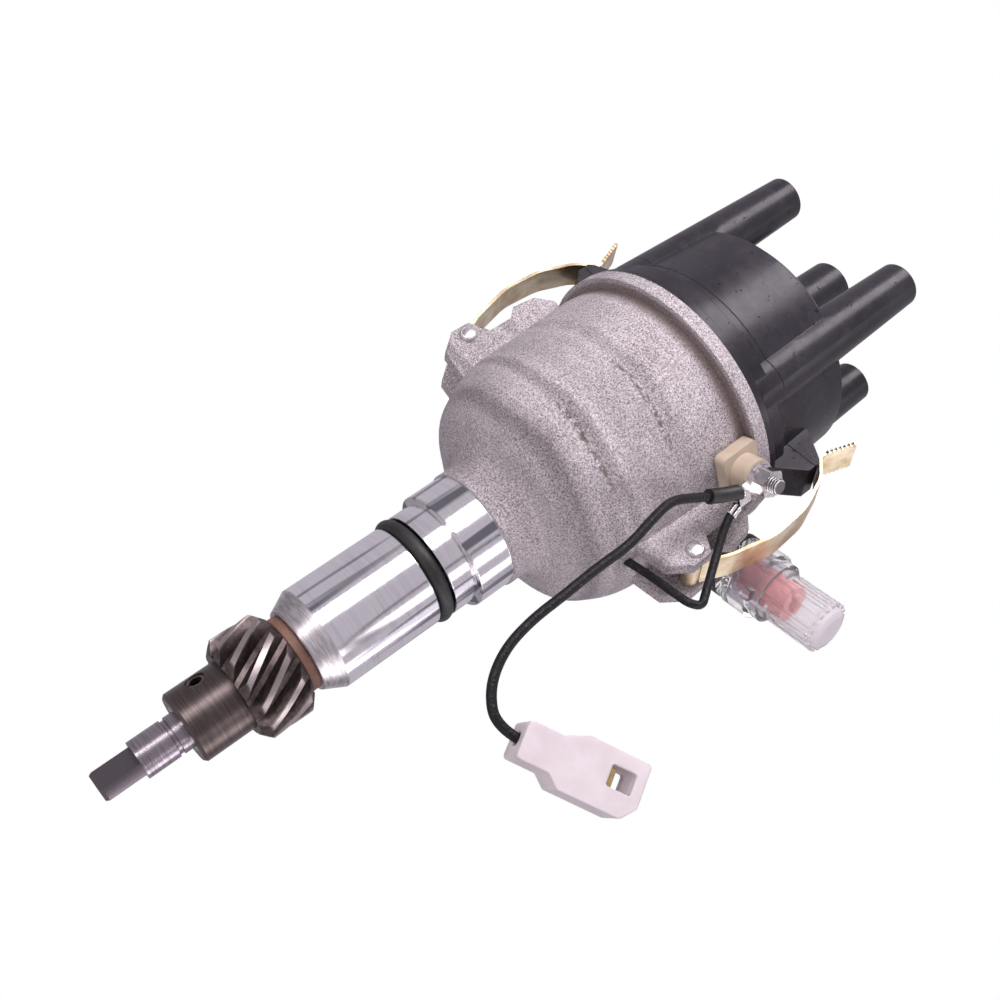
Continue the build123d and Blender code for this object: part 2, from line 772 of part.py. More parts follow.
with BuildPart() as plate_clip:
    with BuildSketch(Plane.XY.offset(moving_plate_top + seat_gap)):
        Circle(collar_out_r + 1.2)
        Circle(collar_out_r + fit_gap, mode=Mode.SUBTRACT)
        with Locations((0, -collar_out_r)):
            Rectangle(5, 4, mode=Mode.SUBTRACT)
    extrude(amount=0.7)
plate_clip.part.label = "plate_clip"
export_step(plate_clip.part, "parts/plate_clip.step")

# Breaker plate, turned a few degrees by the vacuum unit
vacuum_x, vacuum_y = polar(1.0, vacuum_azimuth)
post_x = vacuum_x * link_post[0] - vacuum_y * link_post[1]
post_y = vacuum_y * link_post[0] + vacuum_x * link_post[1]
foot_screw = (19.3, 13.6)
clamp_screw_y = condenser_y - 7.6
with BuildPart() as breaker_plate:
    with BuildSketch(Plane.XY.offset(moving_plate_z)):
        Circle(moving_plate_r)
        Circle(plate_hole_r, mode=Mode.SUBTRACT)
        with Locations(foot_screw, (0, clamp_screw_y)):
            Circle(0.9, mode=Mode.SUBTRACT)
    extrude(amount=plate_thickness)
    with BuildSketch(Plane.XY.offset(moving_plate_z)):
        with Locations(arm_pivot):
            Circle(2.0)
    extrude(amount=plate_thickness + 9.8)
    with BuildSketch(Plane.XY.offset(moving_plate_z)):
        with Locations((post_x, post_y)):
            Circle(1.5)
    extrude(amount=plate_thickness + 3.4)
breaker_plate.part.label = "breaker_plate"
export_step(breaker_plate.part, "parts/breaker_plate.step")

# Fixed contact on its slotted bracket
contact_z = 54.5
arm_low_z = 52.0
arm_high_z = 57.0
fixed_face_y = arm_y - 1.2 - contact_gap
with BuildPart() as fixed_contact:
    with BuildSketch(Plane.XY.offset(moving_plate_top)):
        with Locations((17.2, 13.6)):
            Rectangle(9.6, 6.2)
        with Locations(foot_screw):
            SlotOverall(3.2, 1.9, mode=Mode.SUBTRACT)
    extrude(amount=1.2)
    with BuildSketch(Plane.XY.offset(moving_plate_top)):
        with Locations((contact_x, 11.2)):
            Rectangle(4.2, 1.4)
    extrude(amount=8.6)
    with BuildSketch(Plane(origin=(contact_x, 11.5, contact_z), z_dir=(0, 1, 0))):
        Circle(2.0)
    extrude(amount=fixed_face_y - 11.5)
fixed_contact.part.label = "fixed_contact"
export_step(fixed_contact.part, "parts/fixed_contact.step")

# The two screws of the breaker plate: one for the contact bracket, one for the condenser clamp
with BuildPart() as breaker_screws:
    for spot, seat in ((foot_screw, 1.2), ((0, clamp_screw_y), 0.9)):
        with BuildSketch(Plane.XY.offset(moving_plate_top + seat)):
            with Locations(spot):
                Circle(1.6)
        extrude(amount=1.2)
        with BuildSketch(Plane.XY.offset(moving_plate_top + seat + 1.2)):
            with Locations(spot):
                Rectangle(3.6, 0.6)
        extrude(amount=-0.5, mode=Mode.SUBTRACT)
        with BuildSketch(Plane.XY.offset(moving_plate_top + seat)):
            with Locations(spot):
                Circle(0.9 - fit_gap)
        extrude(amount=-2.4)
breaker_screws.part.label = "breaker_screws"
export_step(breaker_screws.part, "parts/breaker_screws.step")

# Moving contact arm with its fibre heel and leaf spring
with BuildPart() as contact_arm:
    with BuildSketch(Plane.XY.offset(arm_low_z)):
        with Locations(arm_pivot):
            Circle(3.7)
        with Locations((0, arm_y + 0.7)):
            Rectangle(2 * 17.0, 1.4)
    extrude(amount=arm_high_z - arm_low_z)
    with BuildSketch(Plane.XY.offset(arm_low_z)):
        with Locations(arm_pivot):
            Circle(2.0 + run_gap)
    extrude(amount=arm_high_z - arm_low_z, mode=Mode.SUBTRACT)
    with BuildSketch(Plane(origin=(contact_x, arm_y + 0.2, contact_z), z_dir=(0, -1, 0))):
        Circle(2.0)
    extrude(amount=1.4)
contact_arm.part.label = "contact_arm"
export_step(contact_arm.part, "parts/contact_arm.step")

with BuildPart() as rubbing_heel:
    with BuildSketch(Plane.XY.offset(arm_low_z + 0.2)) as heel_face:
        with BuildLine():
            Polyline(
                (-2.8, arm_y),
                (2.8, arm_y),
                (1.3, cam_lobe_r + heel_gap),
                (-1.3, cam_lobe_r + heel_gap),
                close=True,
            )
        make_face()
        fillet(heel_face.vertices().group_by(Axis.Y)[0], 0.6)
    extrude(amount=arm_high_z - arm_low_z - 0.4)
rubbing_heel.part.label = "rubbing_heel"
export_step(rubbing_heel.part, "parts/rubbing_heel.step")

leaf_points = [
    (-4, arm_y + 1.6),
    (-9.5, arm_y + 2.3),
    (-17, 20.9),
    (-22.8, 18.2),
    (-23.5, 12.5),
    (-23.5, 6.6),
]
with BuildPart() as contact_spring:
    with BuildSketch(Plane.XY.offset(arm_low_z + 0.5)):
        with BuildLine():
            FilletPolyline(*leaf_points, radius=[5, 3.5, 3, 4])
        trace(line_width=0.36)
    extrude(amount=4)
contact_spring.part.label = "contact_spring"
export_step(contact_spring.part, "parts/contact_spring.step")

# Insulated post that joins the spring, the condenser lead and the inner lead
with BuildPart() as spring_post:
    with BuildSketch(Plane.XY.offset(moving_plate_top)):
        with Locations((-24.8, 8.2)):
            Rectangle(2.2, 4.6)
    extrude(amount=9.2)
spring_post.part.label = "spring_post"
export_step(spring_post.part, "parts/spring_post.step")

# Condenser, its clamp and the clamp screw
with BuildPart() as condenser:
    with BuildSketch(Plane(origin=(-condenser_length / 2, condenser_y, condenser_z), z_dir=(1, 0, 0))):
        Circle(condenser_r)
    extrude(amount=condenser_length)
    fillet(condenser.edges().filter_by(GeomType.CIRCLE), 0.9)
    with BuildSketch(Plane(origin=(-condenser_length / 2, condenser_y, condenser_z), z_dir=(-1, 0, 0))):
        Circle(condenser_r - 2.2)
    extrude(amount=1.0)
condenser.part.label = "condenser"
export_step(condenser.part, "parts/condenser.step")

with BuildPart() as condenser_clamp:
    with BuildSketch(Plane(origin=(0, condenser_y, condenser_z), x_dir=(0, 1, 0), z_dir=(1, 0, 0))):
        Circle(condenser_r + 0.9)
        with Locations((-4.6, -condenser_r - 0.45)):
            Rectangle(9.2, 0.9)
        Circle(condenser_r + fit_gap, mode=Mode.SUBTRACT)
    extrude(amount=4, both=True)
    with BuildSketch(Plane.XY.offset(moving_plate_top)):
        with Locations((0, clamp_screw_y)):
            Circle(0.9)
    extrude(amount=1, mode=Mode.SUBTRACT)
condenser_clamp.part.label = "condenser_clamp"
export_step(condenser_clamp.part, "parts/condenser_clamp.step")

# Insulated leads inside the bell
inner_leads = {
    "condenser_lead": [
        (-13.6, condenser_y, condenser_z),
        (-17.4, condenser_y + 0.4, condenser_z),
        (-22.4, -14.6, 55.0),
        (-25.2, -7.4, 54.6),
        (-25.8, 0.4, 54.2),
        (-25.1, 5.75, 54.0),
    ],
    "contact_lead": [
        (*polar(31.0, -57), 58.0),
        (*polar(31.4, -73), 58.0),
        (*polar(31.4, -91), 58.2),
        (*polar(31.4, -109), 58.0),
        (*polar(31.4, -127), 57.8),
        (*polar(31.4, -145), 57.4),
        (*polar(31.4, -162), 56.8),
        (*polar(30.8, -179), 56.2),
        (-26.75, 8.4, 55.8),
    ],
}
for name, points in inner_leads.items():
    with BuildPart() as inner_lead:
        with BuildLine() as route:
            FilletPolyline(*points, radius=bend_radii(points))
        with BuildSketch(Plane(origin=route.line @ 0, z_dir=route.line % 0)):
            Circle(0.7)
        sweep(path=route.line)
    inner_lead.part.label = name
    export_step(inner_lead.part, f"parts/{name}.step")

# Distributor cap with four outer towers and the centre tower
pad_profile = [
    (30.0, 88.5),
    (36.5, 87.4),
    (44.5, 82.4),
    (45.8, 80.9),
    (45.8, 77.0),
    (39.5, 71.0),
    (30.0, 71.0),
]
with BuildPart() as cap:
    with BuildSketch(Plane.XZ):
        with BuildLine():
            Polyline(
                (0, spigot_low_z),
                (spigot_r, spigot_low_z),
                (spigot_r, rim_z),
                (cap_flange_r, rim_z),
                (cap_flange_r, rim_z + cap_flange_thickness),
                (cap_skirt_r, rim_z + cap_flange_thickness + 0.8),
                (cap_skirt_r, cap_skirt_z),
                (cap_wall_r, cap_skirt_z + 0.8),
                (cap_top_r, cap_top_z - 2.5),
                (cap_top_r - 2.5, cap_top_z),
                (0, cap_top_z),
                close=True,
            )
        make_face()
    revolve(axis=Axis.Z)
    with BuildSketch(Plane.XY.offset(tower_foot_z)):
        with PolarLocations(tower_centre_r, tower_count, start_angle=tower_azimuth):
            Circle(tower_base_r)
    tower_height = tower_tip_z - tower_foot_z
    tower_taper = math.degrees(math.atan((tower_base_r - tower_tip_r) / tower_height))
    extrude(amount=tower_height, taper=tower_taper)
    with BuildSketch(Plane.XY.offset(cap_top_z - 1)):
        Circle(centre_tower_r + 0.9)
    extrude(amount=centre_tower_z - cap_top_z + 1, taper=1.4)
    for azimuth in clip_azimuths:
        with BuildSketch(upright_plane(azimuth)):
            with BuildLine():
                Polyline(*pad_profile, close=True)
            make_face()
        extrude(amount=5.6, both=True)
    # Inside of the cap, then the centre boss for the brush
    with BuildSketch(Plane.XZ):
        with BuildLine():
            Polyline(
                (0, spigot_low_z),
                (cap_bore_low_r, spigot_low_z),
                (cap_bore_high_r, cap_ceiling_z),
                (0, cap_ceiling_z),
                close=True,
            )
        make_face()
    revolve(axis=Axis.Z, mode=Mode.SUBTRACT)
    with BuildSketch(Plane.XY.offset(cap_ceiling_z + 1)):
        Circle(6.0)
    extrude(amount=-(cap_ceiling_z + 1 - boss_low_z))
    # Sockets, electrode holes and the brush bore
    with BuildSketch(Plane.XY.offset(tower_tip_z)):
        with PolarLocations(tower_centre_r, tower_count, start_angle=tower_azimuth):
            Circle(socket_r)
    extrude(amount=-socket_depth, mode=Mode.SUBTRACT)
    with BuildSketch(Plane.XY.offset(centre_tower_z)):
        Circle(socket_r)
    extrude(amount=-socket_depth, mode=Mode.SUBTRACT)
    with BuildSketch(Plane.XY.offset(electrode_low_z)):
        with PolarLocations(tower_centre_r, tower_count, start_angle=tower_azimuth):
            Circle(electrode_r + fit_gap)
    extrude(amount=socket_floor_z - electrode_low_z, mode=Mode.SUBTRACT)
    with BuildSketch(Plane.XY.offset(socket_floor_z - head_thickness)):
        with PolarLocations(tower_centre_r, tower_count, start_angle=tower_azimuth):
            Circle(electrode_head_r + fit_gap)
    extrude(amount=head_thickness, mode=Mode.SUBTRACT)
    with BuildSketch(Plane.XY.offset(centre_socket_floor_z - head_thickness)):
        Circle(electrode_head_r + fit_gap)
    extrude(amount=head_thickness, mode=Mode.SUBTRACT)
    with BuildSketch(Plane.XY.offset(boss_low_z - 1)):
        Circle(brush_bore_r)
    extrude(amount=brush_bore_top_z - boss_low_z + 1, mode=Mode.SUBTRACT)
    with BuildSketch(Plane.XY.offset(brush_bore_top_z)):
        Circle(electrode_r + fit_gap)
    extrude(amount=centre_socket_floor_z - brush_bore_top_z, mode=Mode.SUBTRACT)
cap.part.label = "cap"
export_step(cap.part, "parts/cap.step")

# Electrodes and the sprung carbon brush of the cap
with BuildPart() as cap_electrodes:
    with BuildSketch(Plane.XY.offset(electrode_low_z)):
        with PolarLocations(tower_centre_r, tower_count, start_angle=tower_azimuth):
            Circle(electrode_r)
    extrude(amount=socket_floor_z - electrode_low_z)
    with BuildSketch(Plane.XY.offset(socket_floor_z - head_thickness)):
        with PolarLocations(tower_centre_r, tower_count, start_angle=tower_azimuth):
            Circle(electrode_head_r)
    extrude(amount=head_thickness)
    with BuildSketch(Plane.XY.offset(brush_bore_top_z)):
        Circle(electrode_r)
    extrude(amount=centre_socket_floor_z - brush_bore_top_z)
    with BuildSketch(Plane.XY.offset(centre_socket_floor_z - head_thickness)):
        Circle(electrode_head_r)
    extrude(amount=head_thickness)
cap_electrodes.part.label = "cap_electrodes"
export_step(cap_electrodes.part, "parts/cap_electrodes.step")

brush_low_z = rotor_top_z + rotor_strip_thickness + 0.4
brush_length = 13.0
with BuildPart() as carbon_brush:
    with BuildSketch(Plane.XY.offset(brush_low_z)):
        Circle(brush_bore_r - 0.1)
    extrude(amount=brush_length)
    with BuildSketch(Plane.XY.offset(brush_low_z + brush_length)):
        Circle(brush_bore_r - 1.3)
    extrude(amount=2.5)
    chamfer(carbon_brush.faces().sort_by(Axis.Z)[0].edges(), 0.5)
carbon_brush.part.label = "carbon_brush"
export_step(carbon_brush.part, "parts/carbon_brush.step")

with BuildPart() as brush_spring:
    with BuildLine() as brush_coil:
        spring_foot_z = brush_low_z + brush_length + 0.5
        spring_height = brush_bore_top_z - 0.5 - spring_foot_z
        Helix(pitch=2.0, height=spring_height, radius=1.95, center=(0, 0, spring_foot_z))
    with BuildSketch(Plane(origin=brush_coil.line @ 0, z_dir=brush_coil.line % 0)):
        Circle(0.3)
    sweep(path=brush_coil.line, is_frenet=True)
brush_spring.part.label = "brush_spring"
export_step(brush_spring.part, "parts/brush_spring.step")

# Two spring clips and their hinge pins
clip_path = [
    (clip_pivot[0] + 2.2, clip_pivot[1] + 1.0),
    (50.5, 43.0),
    (53.6, 56.0),
    (52.8, 68.0),
    (49.0, 78.5),
    (44.0, 84.2),
    (47.5, 94.5),
]
for number, azimuth in ((1, clip_azimuths[1]), (2, clip_azimuths[0])):
    with BuildPart() as clip:
        with BuildSketch(upright_plane(azimuth)):
            with BuildLine():
                FilletPolyline(*clip_path, radius=[12, 18, 18, 10, 1.6])
            trace(line_width=clip_thickness)
            with Locations(clip_pivot):
                Circle(clip_pin_r + run_gap + clip_thickness)
                Circle(clip_pin_r + run_gap, mode=Mode.SUBTRACT)
        extrude(amount=clip_width / 2, both=True)
    clip.part.label = f"clip_{number}"
    export_step(clip.part, f"parts/clip_{number}.step")

pin_reach = ear_offset + lug_thickness
with BuildPart() as clip_pins:
    for azimuth in clip_azimuths:
        with BuildSketch(upright_plane(azimuth)):
            with Locations(clip_pivot):
                Circle(clip_pin_r)
        extrude(amount=pin_reach + 0.5, both=True)
        for side in (-1, 1):
            with BuildSketch(upright_plane(azimuth, side * pin_reach)):
                with Locations(clip_pivot):
                    Circle(clip_pin_r + 0.9)
            extrude(amount=-side * 0.9, taper=25)
clip_pins.part.label = "clip_pins"
export_step(clip_pins.part, "parts/clip_pins.step")

# Primary terminal: insulator through the bell wall, bolt, ring terminal, washer and nut
terminal_plane = spoke_plane(terminal_azimuth, terminal_z)
with BuildPart() as terminal_insulator:
    with BuildSketch(outward_plane(terminal_azimuth, 34.0, terminal_z)):
        with Locations((-1.05, 0)):
            RectangleRounded(10.9, 12, 1.5)
    extrude(amount=6.5)
    with BuildSketch(Plane.XY.offset(terminal_z - 10)):
        Circle(bell_r + 0.06)
    extrude(amount=20, mode=Mode.SUBTRACT)
    with BuildSketch(outward_plane(terminal_azimuth, 33.0, terminal_z)):
        RectangleRounded(window[0] - 2 * run_gap, window[1] - 2 * run_gap, 1.9)
    extrude(amount=6.5)
    with BuildSketch(outward_plane(terminal_azimuth, insulator_end - 5.0, terminal_z)):
        Circle(4.8)
    extrude(amount=5.0)
    with BuildSketch(outward_plane(terminal_azimuth, 32.0, terminal_z)):
        Circle(bolt_r + fit_gap)
    extrude(amount=15, mode=Mode.SUBTRACT)
terminal_insulator.part.label = "terminal_insulator"
export_step(terminal_insulator.part, "parts/terminal_insulator.step")

with BuildPart() as terminal_bolt:
    with BuildSketch(outward_plane(terminal_azimuth, 31.0, terminal_z)):
        RegularPolygon(3.4, 6, major_radius=True)
    extrude(amount=2.0)
    with BuildSketch(outward_plane(terminal_azimuth, 32.5, terminal_z)):
        Circle(bolt_r)
    extrude(amount=20.5)
    bolt_axis = Axis(terminal_plane.origin, terminal_plane.x_dir)
    chamfer(terminal_bolt.faces().sort_by(bolt_axis)[-1].edges(), 0.5)
terminal_bolt.part.label = "terminal_bolt"
export_step(terminal_bolt.part, "parts/terminal_bolt.step")

with BuildPart() as ring_terminal:
    with BuildSketch(outward_plane(terminal_azimuth, insulator_end, terminal_z)):
        Circle(4.3)
        with Locations((1.2, -5.8)):
            Rectangle(6.4, 4.0)
        Circle(bolt_r + fit_gap, mode=Mode.SUBTRACT)
    extrude(amount=ring_thickness)
ring_terminal.part.label = "ring_terminal"
export_step(ring_terminal.part, "parts/ring_terminal.step")

with BuildPart() as terminal_washer:
    with BuildSketch(outward_plane(terminal_azimuth, washer_start, terminal_z)):
        Circle(4.0)
        Circle(bolt_r + fit_gap, mode=Mode.SUBTRACT)
    extrude(amount=ring_thickness)
terminal_washer.part.label = "terminal_washer"
export_step(terminal_washer.part, "parts/terminal_washer.step")

with BuildPart() as terminal_nut:
    with BuildSketch(outward_plane(terminal_azimuth, nut_start, terminal_z)):
        RegularPolygon(nut_across / 2, 6, major_radius=False)
    extrude(amount=nut_height)
    with BuildSketch(outward_plane(terminal_azimuth, nut_start, terminal_z)):
        Circle(nut_across / 2 + 0.35)
    extrude(amount=nut_height, mode=Mode.INTERSECT)
    with BuildSketch(outward_plane(terminal_azimuth, nut_start, terminal_z)):
        Circle(bolt_r + fit_gap)
    extrude(amount=nut_height, mode=Mode.SUBTRACT)
terminal_nut.part.label = "terminal_nut"
export_step(terminal_nut.part, "parts/terminal_nut.step")

# Lead to the connector, with its black sleeve over the crimp
lead_radii = bend_radii(lead_route)
print("lead bend radii", [round(radius, 2) for radius in lead_radii])
with BuildPart() as lead_wire:
    with BuildLine() as lead_line:
        FilletPolyline(*lead_route, radius=lead_radii)
    with BuildSketch(Plane(origin=lead_line.line @ 0, z_dir=lead_line.line % 0)):
        Circle(lead_r)
    sweep(path=lead_line.line)
print("lead length", round(sum(edge.length for edge in lead_line.edges()), 2))
lead_wire.part.label = "lead_wire"
export_step(lead_wire.part, "parts/lead_wire.step")

tail_pocket_z = terminal_z - 7.8
sleeve_start = (29.55, -35.23, 51.3)
sleeve_end = (25.66, -35.82, 42.55)
with BuildPart() as lead_sleeve:
    with BuildLine() as sleeve_line:
        FilletPolyline(sleeve_start, lead_route[1], sleeve_end, radius=lead_radii[0])
    with BuildSketch(Plane(origin=sleeve_line.line @ 0, z_dir=sleeve_line.line % 0)):
        Circle(lead_r + 0.75)
        Circle(lead_r + run_gap, mode=Mode.SUBTRACT)
    sweep(path=sleeve_line.line)
    with BuildSketch(outward_plane(terminal_azimuth, insulator_end - 0.05, tail_pocket_z + 4.0)):
        with Locations((1.2, 0)):
            Rectangle(6.5, 8.1)
    extrude(amount=ring_thickness + 0.1, mode=Mode.SUBTRACT)
lead_sleeve.part.label = "lead_sleeve"
export_step(lead_sleeve.part, "parts/lead_sleeve.step")

# Short black lead, held from the terminal to the bell wall under the front clip
short_radii = bend_radii(short_route)
with BuildPart() as short_lead:
    with BuildLine() as short_line:
        FilletPolyline(*short_route, radius=short_radii)
    with BuildSketch(Plane(origin=short_line.line @ 0, z_dir=short_line.line % 0)):
        Circle(short_lead_r)
    sweep(path=short_line.line)
short_lead.part.label = "short_lead"
export_step(short_lead.part, "parts/short_lead.step")

# Nylon one-way connector: narrow rear, deeper front with a window, brass receptacle inside
tilt_x = math.cos(math.radians(connector_tilt))
tilt_z = math.sin(math.radians(connector_tilt))
connector_plane = Plane(origin=connector_rear, x_dir=(tilt_x, 0, tilt_z), z_dir=(0, -1, 0))
entry_plane = Plane(origin=connector_rear, z_dir=(tilt_x, 0, tilt_z))
half_height = connector_height / 2
half_rear = connector_rear_height / 2
with BuildPart() as connector_housing:
    with BuildSketch(connector_plane) as shell_face:
        with BuildLine():
            Polyline(
                (0, -half_rear),
                (connector_rear_length - 3, -half_rear),
                (connector_rear_length, -half_height),
                (connector_length - 3, -half_height),
                (connector_length, -half_height + 3.5),
                (connector_length, half_height),
                (connector_rear_length + 3, half_height),
                (connector_rear_length - 3, half_rear),
                (0, half_rear),
                close=True,
            )
        make_face()
        fillet(shell_face.vertices(), 1.0)
    extrude(amount=connector_depth / 2, both=True)
    cavity_length = connector_length - connector_rear_length - 1.5
    with BuildSketch(connector_plane):
        with Locations((connector_length - cavity_length / 2, 0)):
            Rectangle(cavity_length, connector_height - 2 * connector_wall - 1)
    extrude(amount=connector_depth / 2 - connector_wall, both=True, mode=Mode.SUBTRACT)
    with BuildSketch(connector_plane):
        with Locations((connector_length - 5.6, 1.0)):
            RectangleRounded(6.2, 5.0, 0.6)
    extrude(amount=connector_depth, both=True, mode=Mode.SUBTRACT)
    with BuildSketch(entry_plane):
        Circle(lead_r + 0.45)
    extrude(amount=connector_rear_length + 3, mode=Mode.SUBTRACT)
connector_housing.part.label = "connector_housing"
export_step(connector_housing.part, "parts/connector_housing.step")

with BuildPart() as connector_terminal:
    with BuildSketch(entry_plane.offset(connector_rear_length - 4)):
        Circle(lead_r + 0.4)
    extrude(amount=6.5)
    with BuildSketch(connector_plane):
        with Locations((connector_rear_length + 7.0, 0)):
            Rectangle(10.5, 6.4)
    extrude(amount=1.5, both=True)
    with BuildSketch(connector_plane):
        with Locations((connector_rear_length + 7.6, 0)):
            Rectangle(10.5, 5.4)
    extrude(amount=0.6, both=True, mode=Mode.SUBTRACT)
connector_terminal.part.label = "connector_terminal"
export_step(connector_terminal.part, "parts/connector_terminal.step")

# Side adjuster: gasket, clear collar, clear cover, and the red knob on its spindle
adjuster_plane = spoke_plane(adjuster_azimuth, adjuster_z, adjuster_offset)
adjuster_axis = Axis(adjuster_plane.origin, adjuster_plane.x_dir)
collar_start = boss_end + gasket_thickness
collar_end = 55.0
with BuildPart() as adjuster_gasket:
    with BuildSketch(outward_plane(adjuster_azimuth, boss_end, adjuster_z, adjuster_offset)):
        Circle(boss_r + 0.5)
        Circle(spindle_bore_r + 0.4, mode=Mode.SUBTRACT)
    extrude(amount=gasket_thickness)
adjuster_gasket.part.label = "adjuster_gasket"
export_step(adjuster_gasket.part, "parts/adjuster_gasket.step")

with BuildPart() as adjuster_collar:
    with BuildSketch(adjuster_plane):
        with BuildLine():
            Polyline(
                (collar_start, 4.7),
                (collar_start, boss_r + 0.3),
                (collar_start + 1.5, boss_r + 0.3),
                (collar_start + 2.3, collar_cover_r),
                (collar_end - 3.5, collar_cover_r),
                (collar_end - 2.6, collar_cover_r - 1.0),
                (collar_end, collar_cover_r - 1.0),
                (collar_end, cover_r + run_gap),
                (collar_start + 3.6, cover_r + run_gap),
                (collar_start + 3.6, 2.7),
                (collar_start + 2.2, 2.7),
                (collar_start + 2.2, 4.7),
                close=True,
            )
        make_face()
    revolve(axis=adjuster_axis)
    with BuildSketch(outward_plane(adjuster_azimuth, collar_end - 4.4, adjuster_z, adjuster_offset)):
        with PolarLocations(collar_cover_r, 2, start_angle=60):
            Rectangle(2.4, 3)
    extrude(amount=2.6)
    with BuildSketch(outward_plane(adjuster_azimuth, collar_end - 4.4, adjuster_z, adjuster_offset)):
        Circle(cover_r + run_gap)
    extrude(amount=2.6, mode=Mode.SUBTRACT)
adjuster_collar.part.label = "adjuster_collar"
export_step(adjuster_collar.part, "parts/adjuster_collar.step")

cover_start = collar_start + 4.0
rib_start = collar_end + 3.0
rib_end = cover_end - 1.6
with BuildPart() as adjuster_cover:
    with BuildSketch(adjuster_plane):
        with BuildLine():
            Polyline(
                (cover_start, cover_r - 1.3),
                (cover_start, cover_r),
                (collar_end + 1.6, cover_r),
                (collar_end + 2.2, cover_r - 0.5),
                (cover_end - 2.6, cover_r - 0.5),
                (cover_end - 0.7, cover_r - 1.7),
                (cover_end, cover_r - 3.6),
                (cover_end, 0),
                (cover_end - 1.4, 0),
                (cover_end - 1.4, cover_r - 3.4),
                (cover_end - 3.4, cover_r - 1.3),
                close=True,
            )
        make_face()
    revolve(axis=adjuster_axis)
    # Lengthwise grip ribs
    with BuildSketch(outward_plane(adjuster_azimuth, rib_start, adjuster_z, adjuster_offset)):
        with PolarLocations(cover_r - 0.6, cover_ribs):
            Rectangle(1.0, 1.1)
    extrude(amount=rib_end - rib_start)
adjuster_cover.part.label = "adjuster_cover"
export_step(adjuster_cover.part, "parts/adjuster_cover.step")

knob_start = cover_start + 0.4
knob_end = 60.5
with BuildPart() as adjuster_knob:
    with BuildSketch(outward_plane(adjuster_azimuth, knob_start, adjuster_z, adjuster_offset)):
        Circle(5.2)
        with PolarLocations(5.2, 6):
            Circle(0.8, mode=Mode.SUBTRACT)
        Circle(spindle_bore_r - run_gap + fit_gap, mode=Mode.SUBTRACT)
    extrude(amount=knob_end - knob_start)
    with BuildSketch(outward_plane(adjuster_azimuth, knob_end, adjuster_z, adjuster_offset)):
        Rectangle(12, 1.2)
    extrude(amount=-1.5, mode=Mode.SUBTRACT)
adjuster_knob.part.label = "adjuster_knob"
export_step(adjuster_knob.part, "parts/adjuster_knob.step")

with BuildPart() as adjuster_spindle:
    with BuildSketch(outward_plane(adjuster_azimuth, 13.0, adjuster_z, adjuster_offset)):
        Circle(spindle_bore_r - run_gap)
    extrude(amount=knob_end - 2.0 - 13.0)
    with BuildSketch(outward_plane(adjuster_azimuth, collar_start + 0.35, adjuster_z, adjuster_offset)):
        Circle(4.3)
    extrude(amount=1.5)
adjuster_spindle.part.label = "adjuster_spindle"
export_step(adjuster_spindle.part, "parts/adjuster_spindle.step")

# Vacuum unit: bracket, two pressed shells, diaphragm, return spring, link and screws
vacuum_plane = spoke_plane(vacuum_azimuth, vacuum_z, vacuum_offset)
vacuum_axis = Axis(vacuum_plane.origin, vacuum_plane.x_dir)
bracket_thickness = 1.6
can_start = pad_face + bracket_thickness
can_seam = 56.5
can_r = vacuum_r - 3.3
can_back = can_seam + 10.0
spout_r = 6.4
nipple_r = 2.6
nipple_end = 84.0
link_rise = link_z + link_thickness / 2 - vacuum_z
with BuildPart() as vacuum_bracket:
    with BuildSketch(outward_plane(vacuum_azimuth, pad_face, vacuum_z, vacuum_offset)):
        RectangleRounded(*pad_size, 3)
        with GridLocations(bracket_screw_span, 0, 2, 1):
            Circle(bracket_screw_r, mode=Mode.SUBTRACT)
        with Locations((0, link_rise)):
            RectangleRounded(*link_slot, 1, mode=Mode.SUBTRACT)
    extrude(amount=bracket_thickness)
vacuum_bracket.part.label = "vacuum_bracket"
export_step(vacuum_bracket.part, "parts/vacuum_bracket.step")

with BuildPart() as bracket_screws:
    with BuildSketch(outward_plane(vacuum_azimuth, can_start, vacuum_z, vacuum_offset)):
        with GridLocations(bracket_screw_span, 0, 2, 1):
            Circle(screw_head_r)
    extrude(amount=screw_head_height)
    with BuildSketch(outward_plane(vacuum_azimuth, can_start + screw_head_height, vacuum_z, vacuum_offset)):
        with GridLocations(bracket_screw_span, 0, 2, 1):
            Rectangle(2 * screw_head_r + 0.4, 0.8)
    extrude(amount=-0.9, mode=Mode.SUBTRACT)
    with BuildSketch(outward_plane(vacuum_azimuth, can_start, vacuum_z, vacuum_offset)):
        with GridLocations(bracket_screw_span, 0, 2, 1):
            Circle(bracket_screw_r - fit_gap)
    extrude(amount=-screw_length)
bracket_screws.part.label = "bracket_screws"
export_step(bracket_screws.part, "parts/bracket_screws.step")

with BuildPart() as vacuum_shell_front:
    with BuildSketch(vacuum_plane):
        with BuildLine():
            Polyline(
                (can_start, spout_r - 1.2),
                (can_start, spout_r),
                (can_seam - 10.5, spout_r),
                (can_seam - 9.7, can_r - 4.2),
                (can_seam - 5.5, can_r - 0.6),
                (can_seam - 1.0, can_r),
                (can_seam - 1.0, vacuum_r),
                (can_seam + 0.1, vacuum_r),
                (can_seam + 0.1, can_r - 1.0),
                (can_seam - 4.5, can_r - 1.5),
                (can_seam - 8.7, can_r - 4.8),
                (can_seam - 9.5, spout_r - 1.2),
                close=True,
            )
        make_face()
    revolve(axis=vacuum_axis)
vacuum_shell_front.part.label = "vacuum_shell_front"
export_step(vacuum_shell_front.part, "parts/vacuum_shell_front.step")

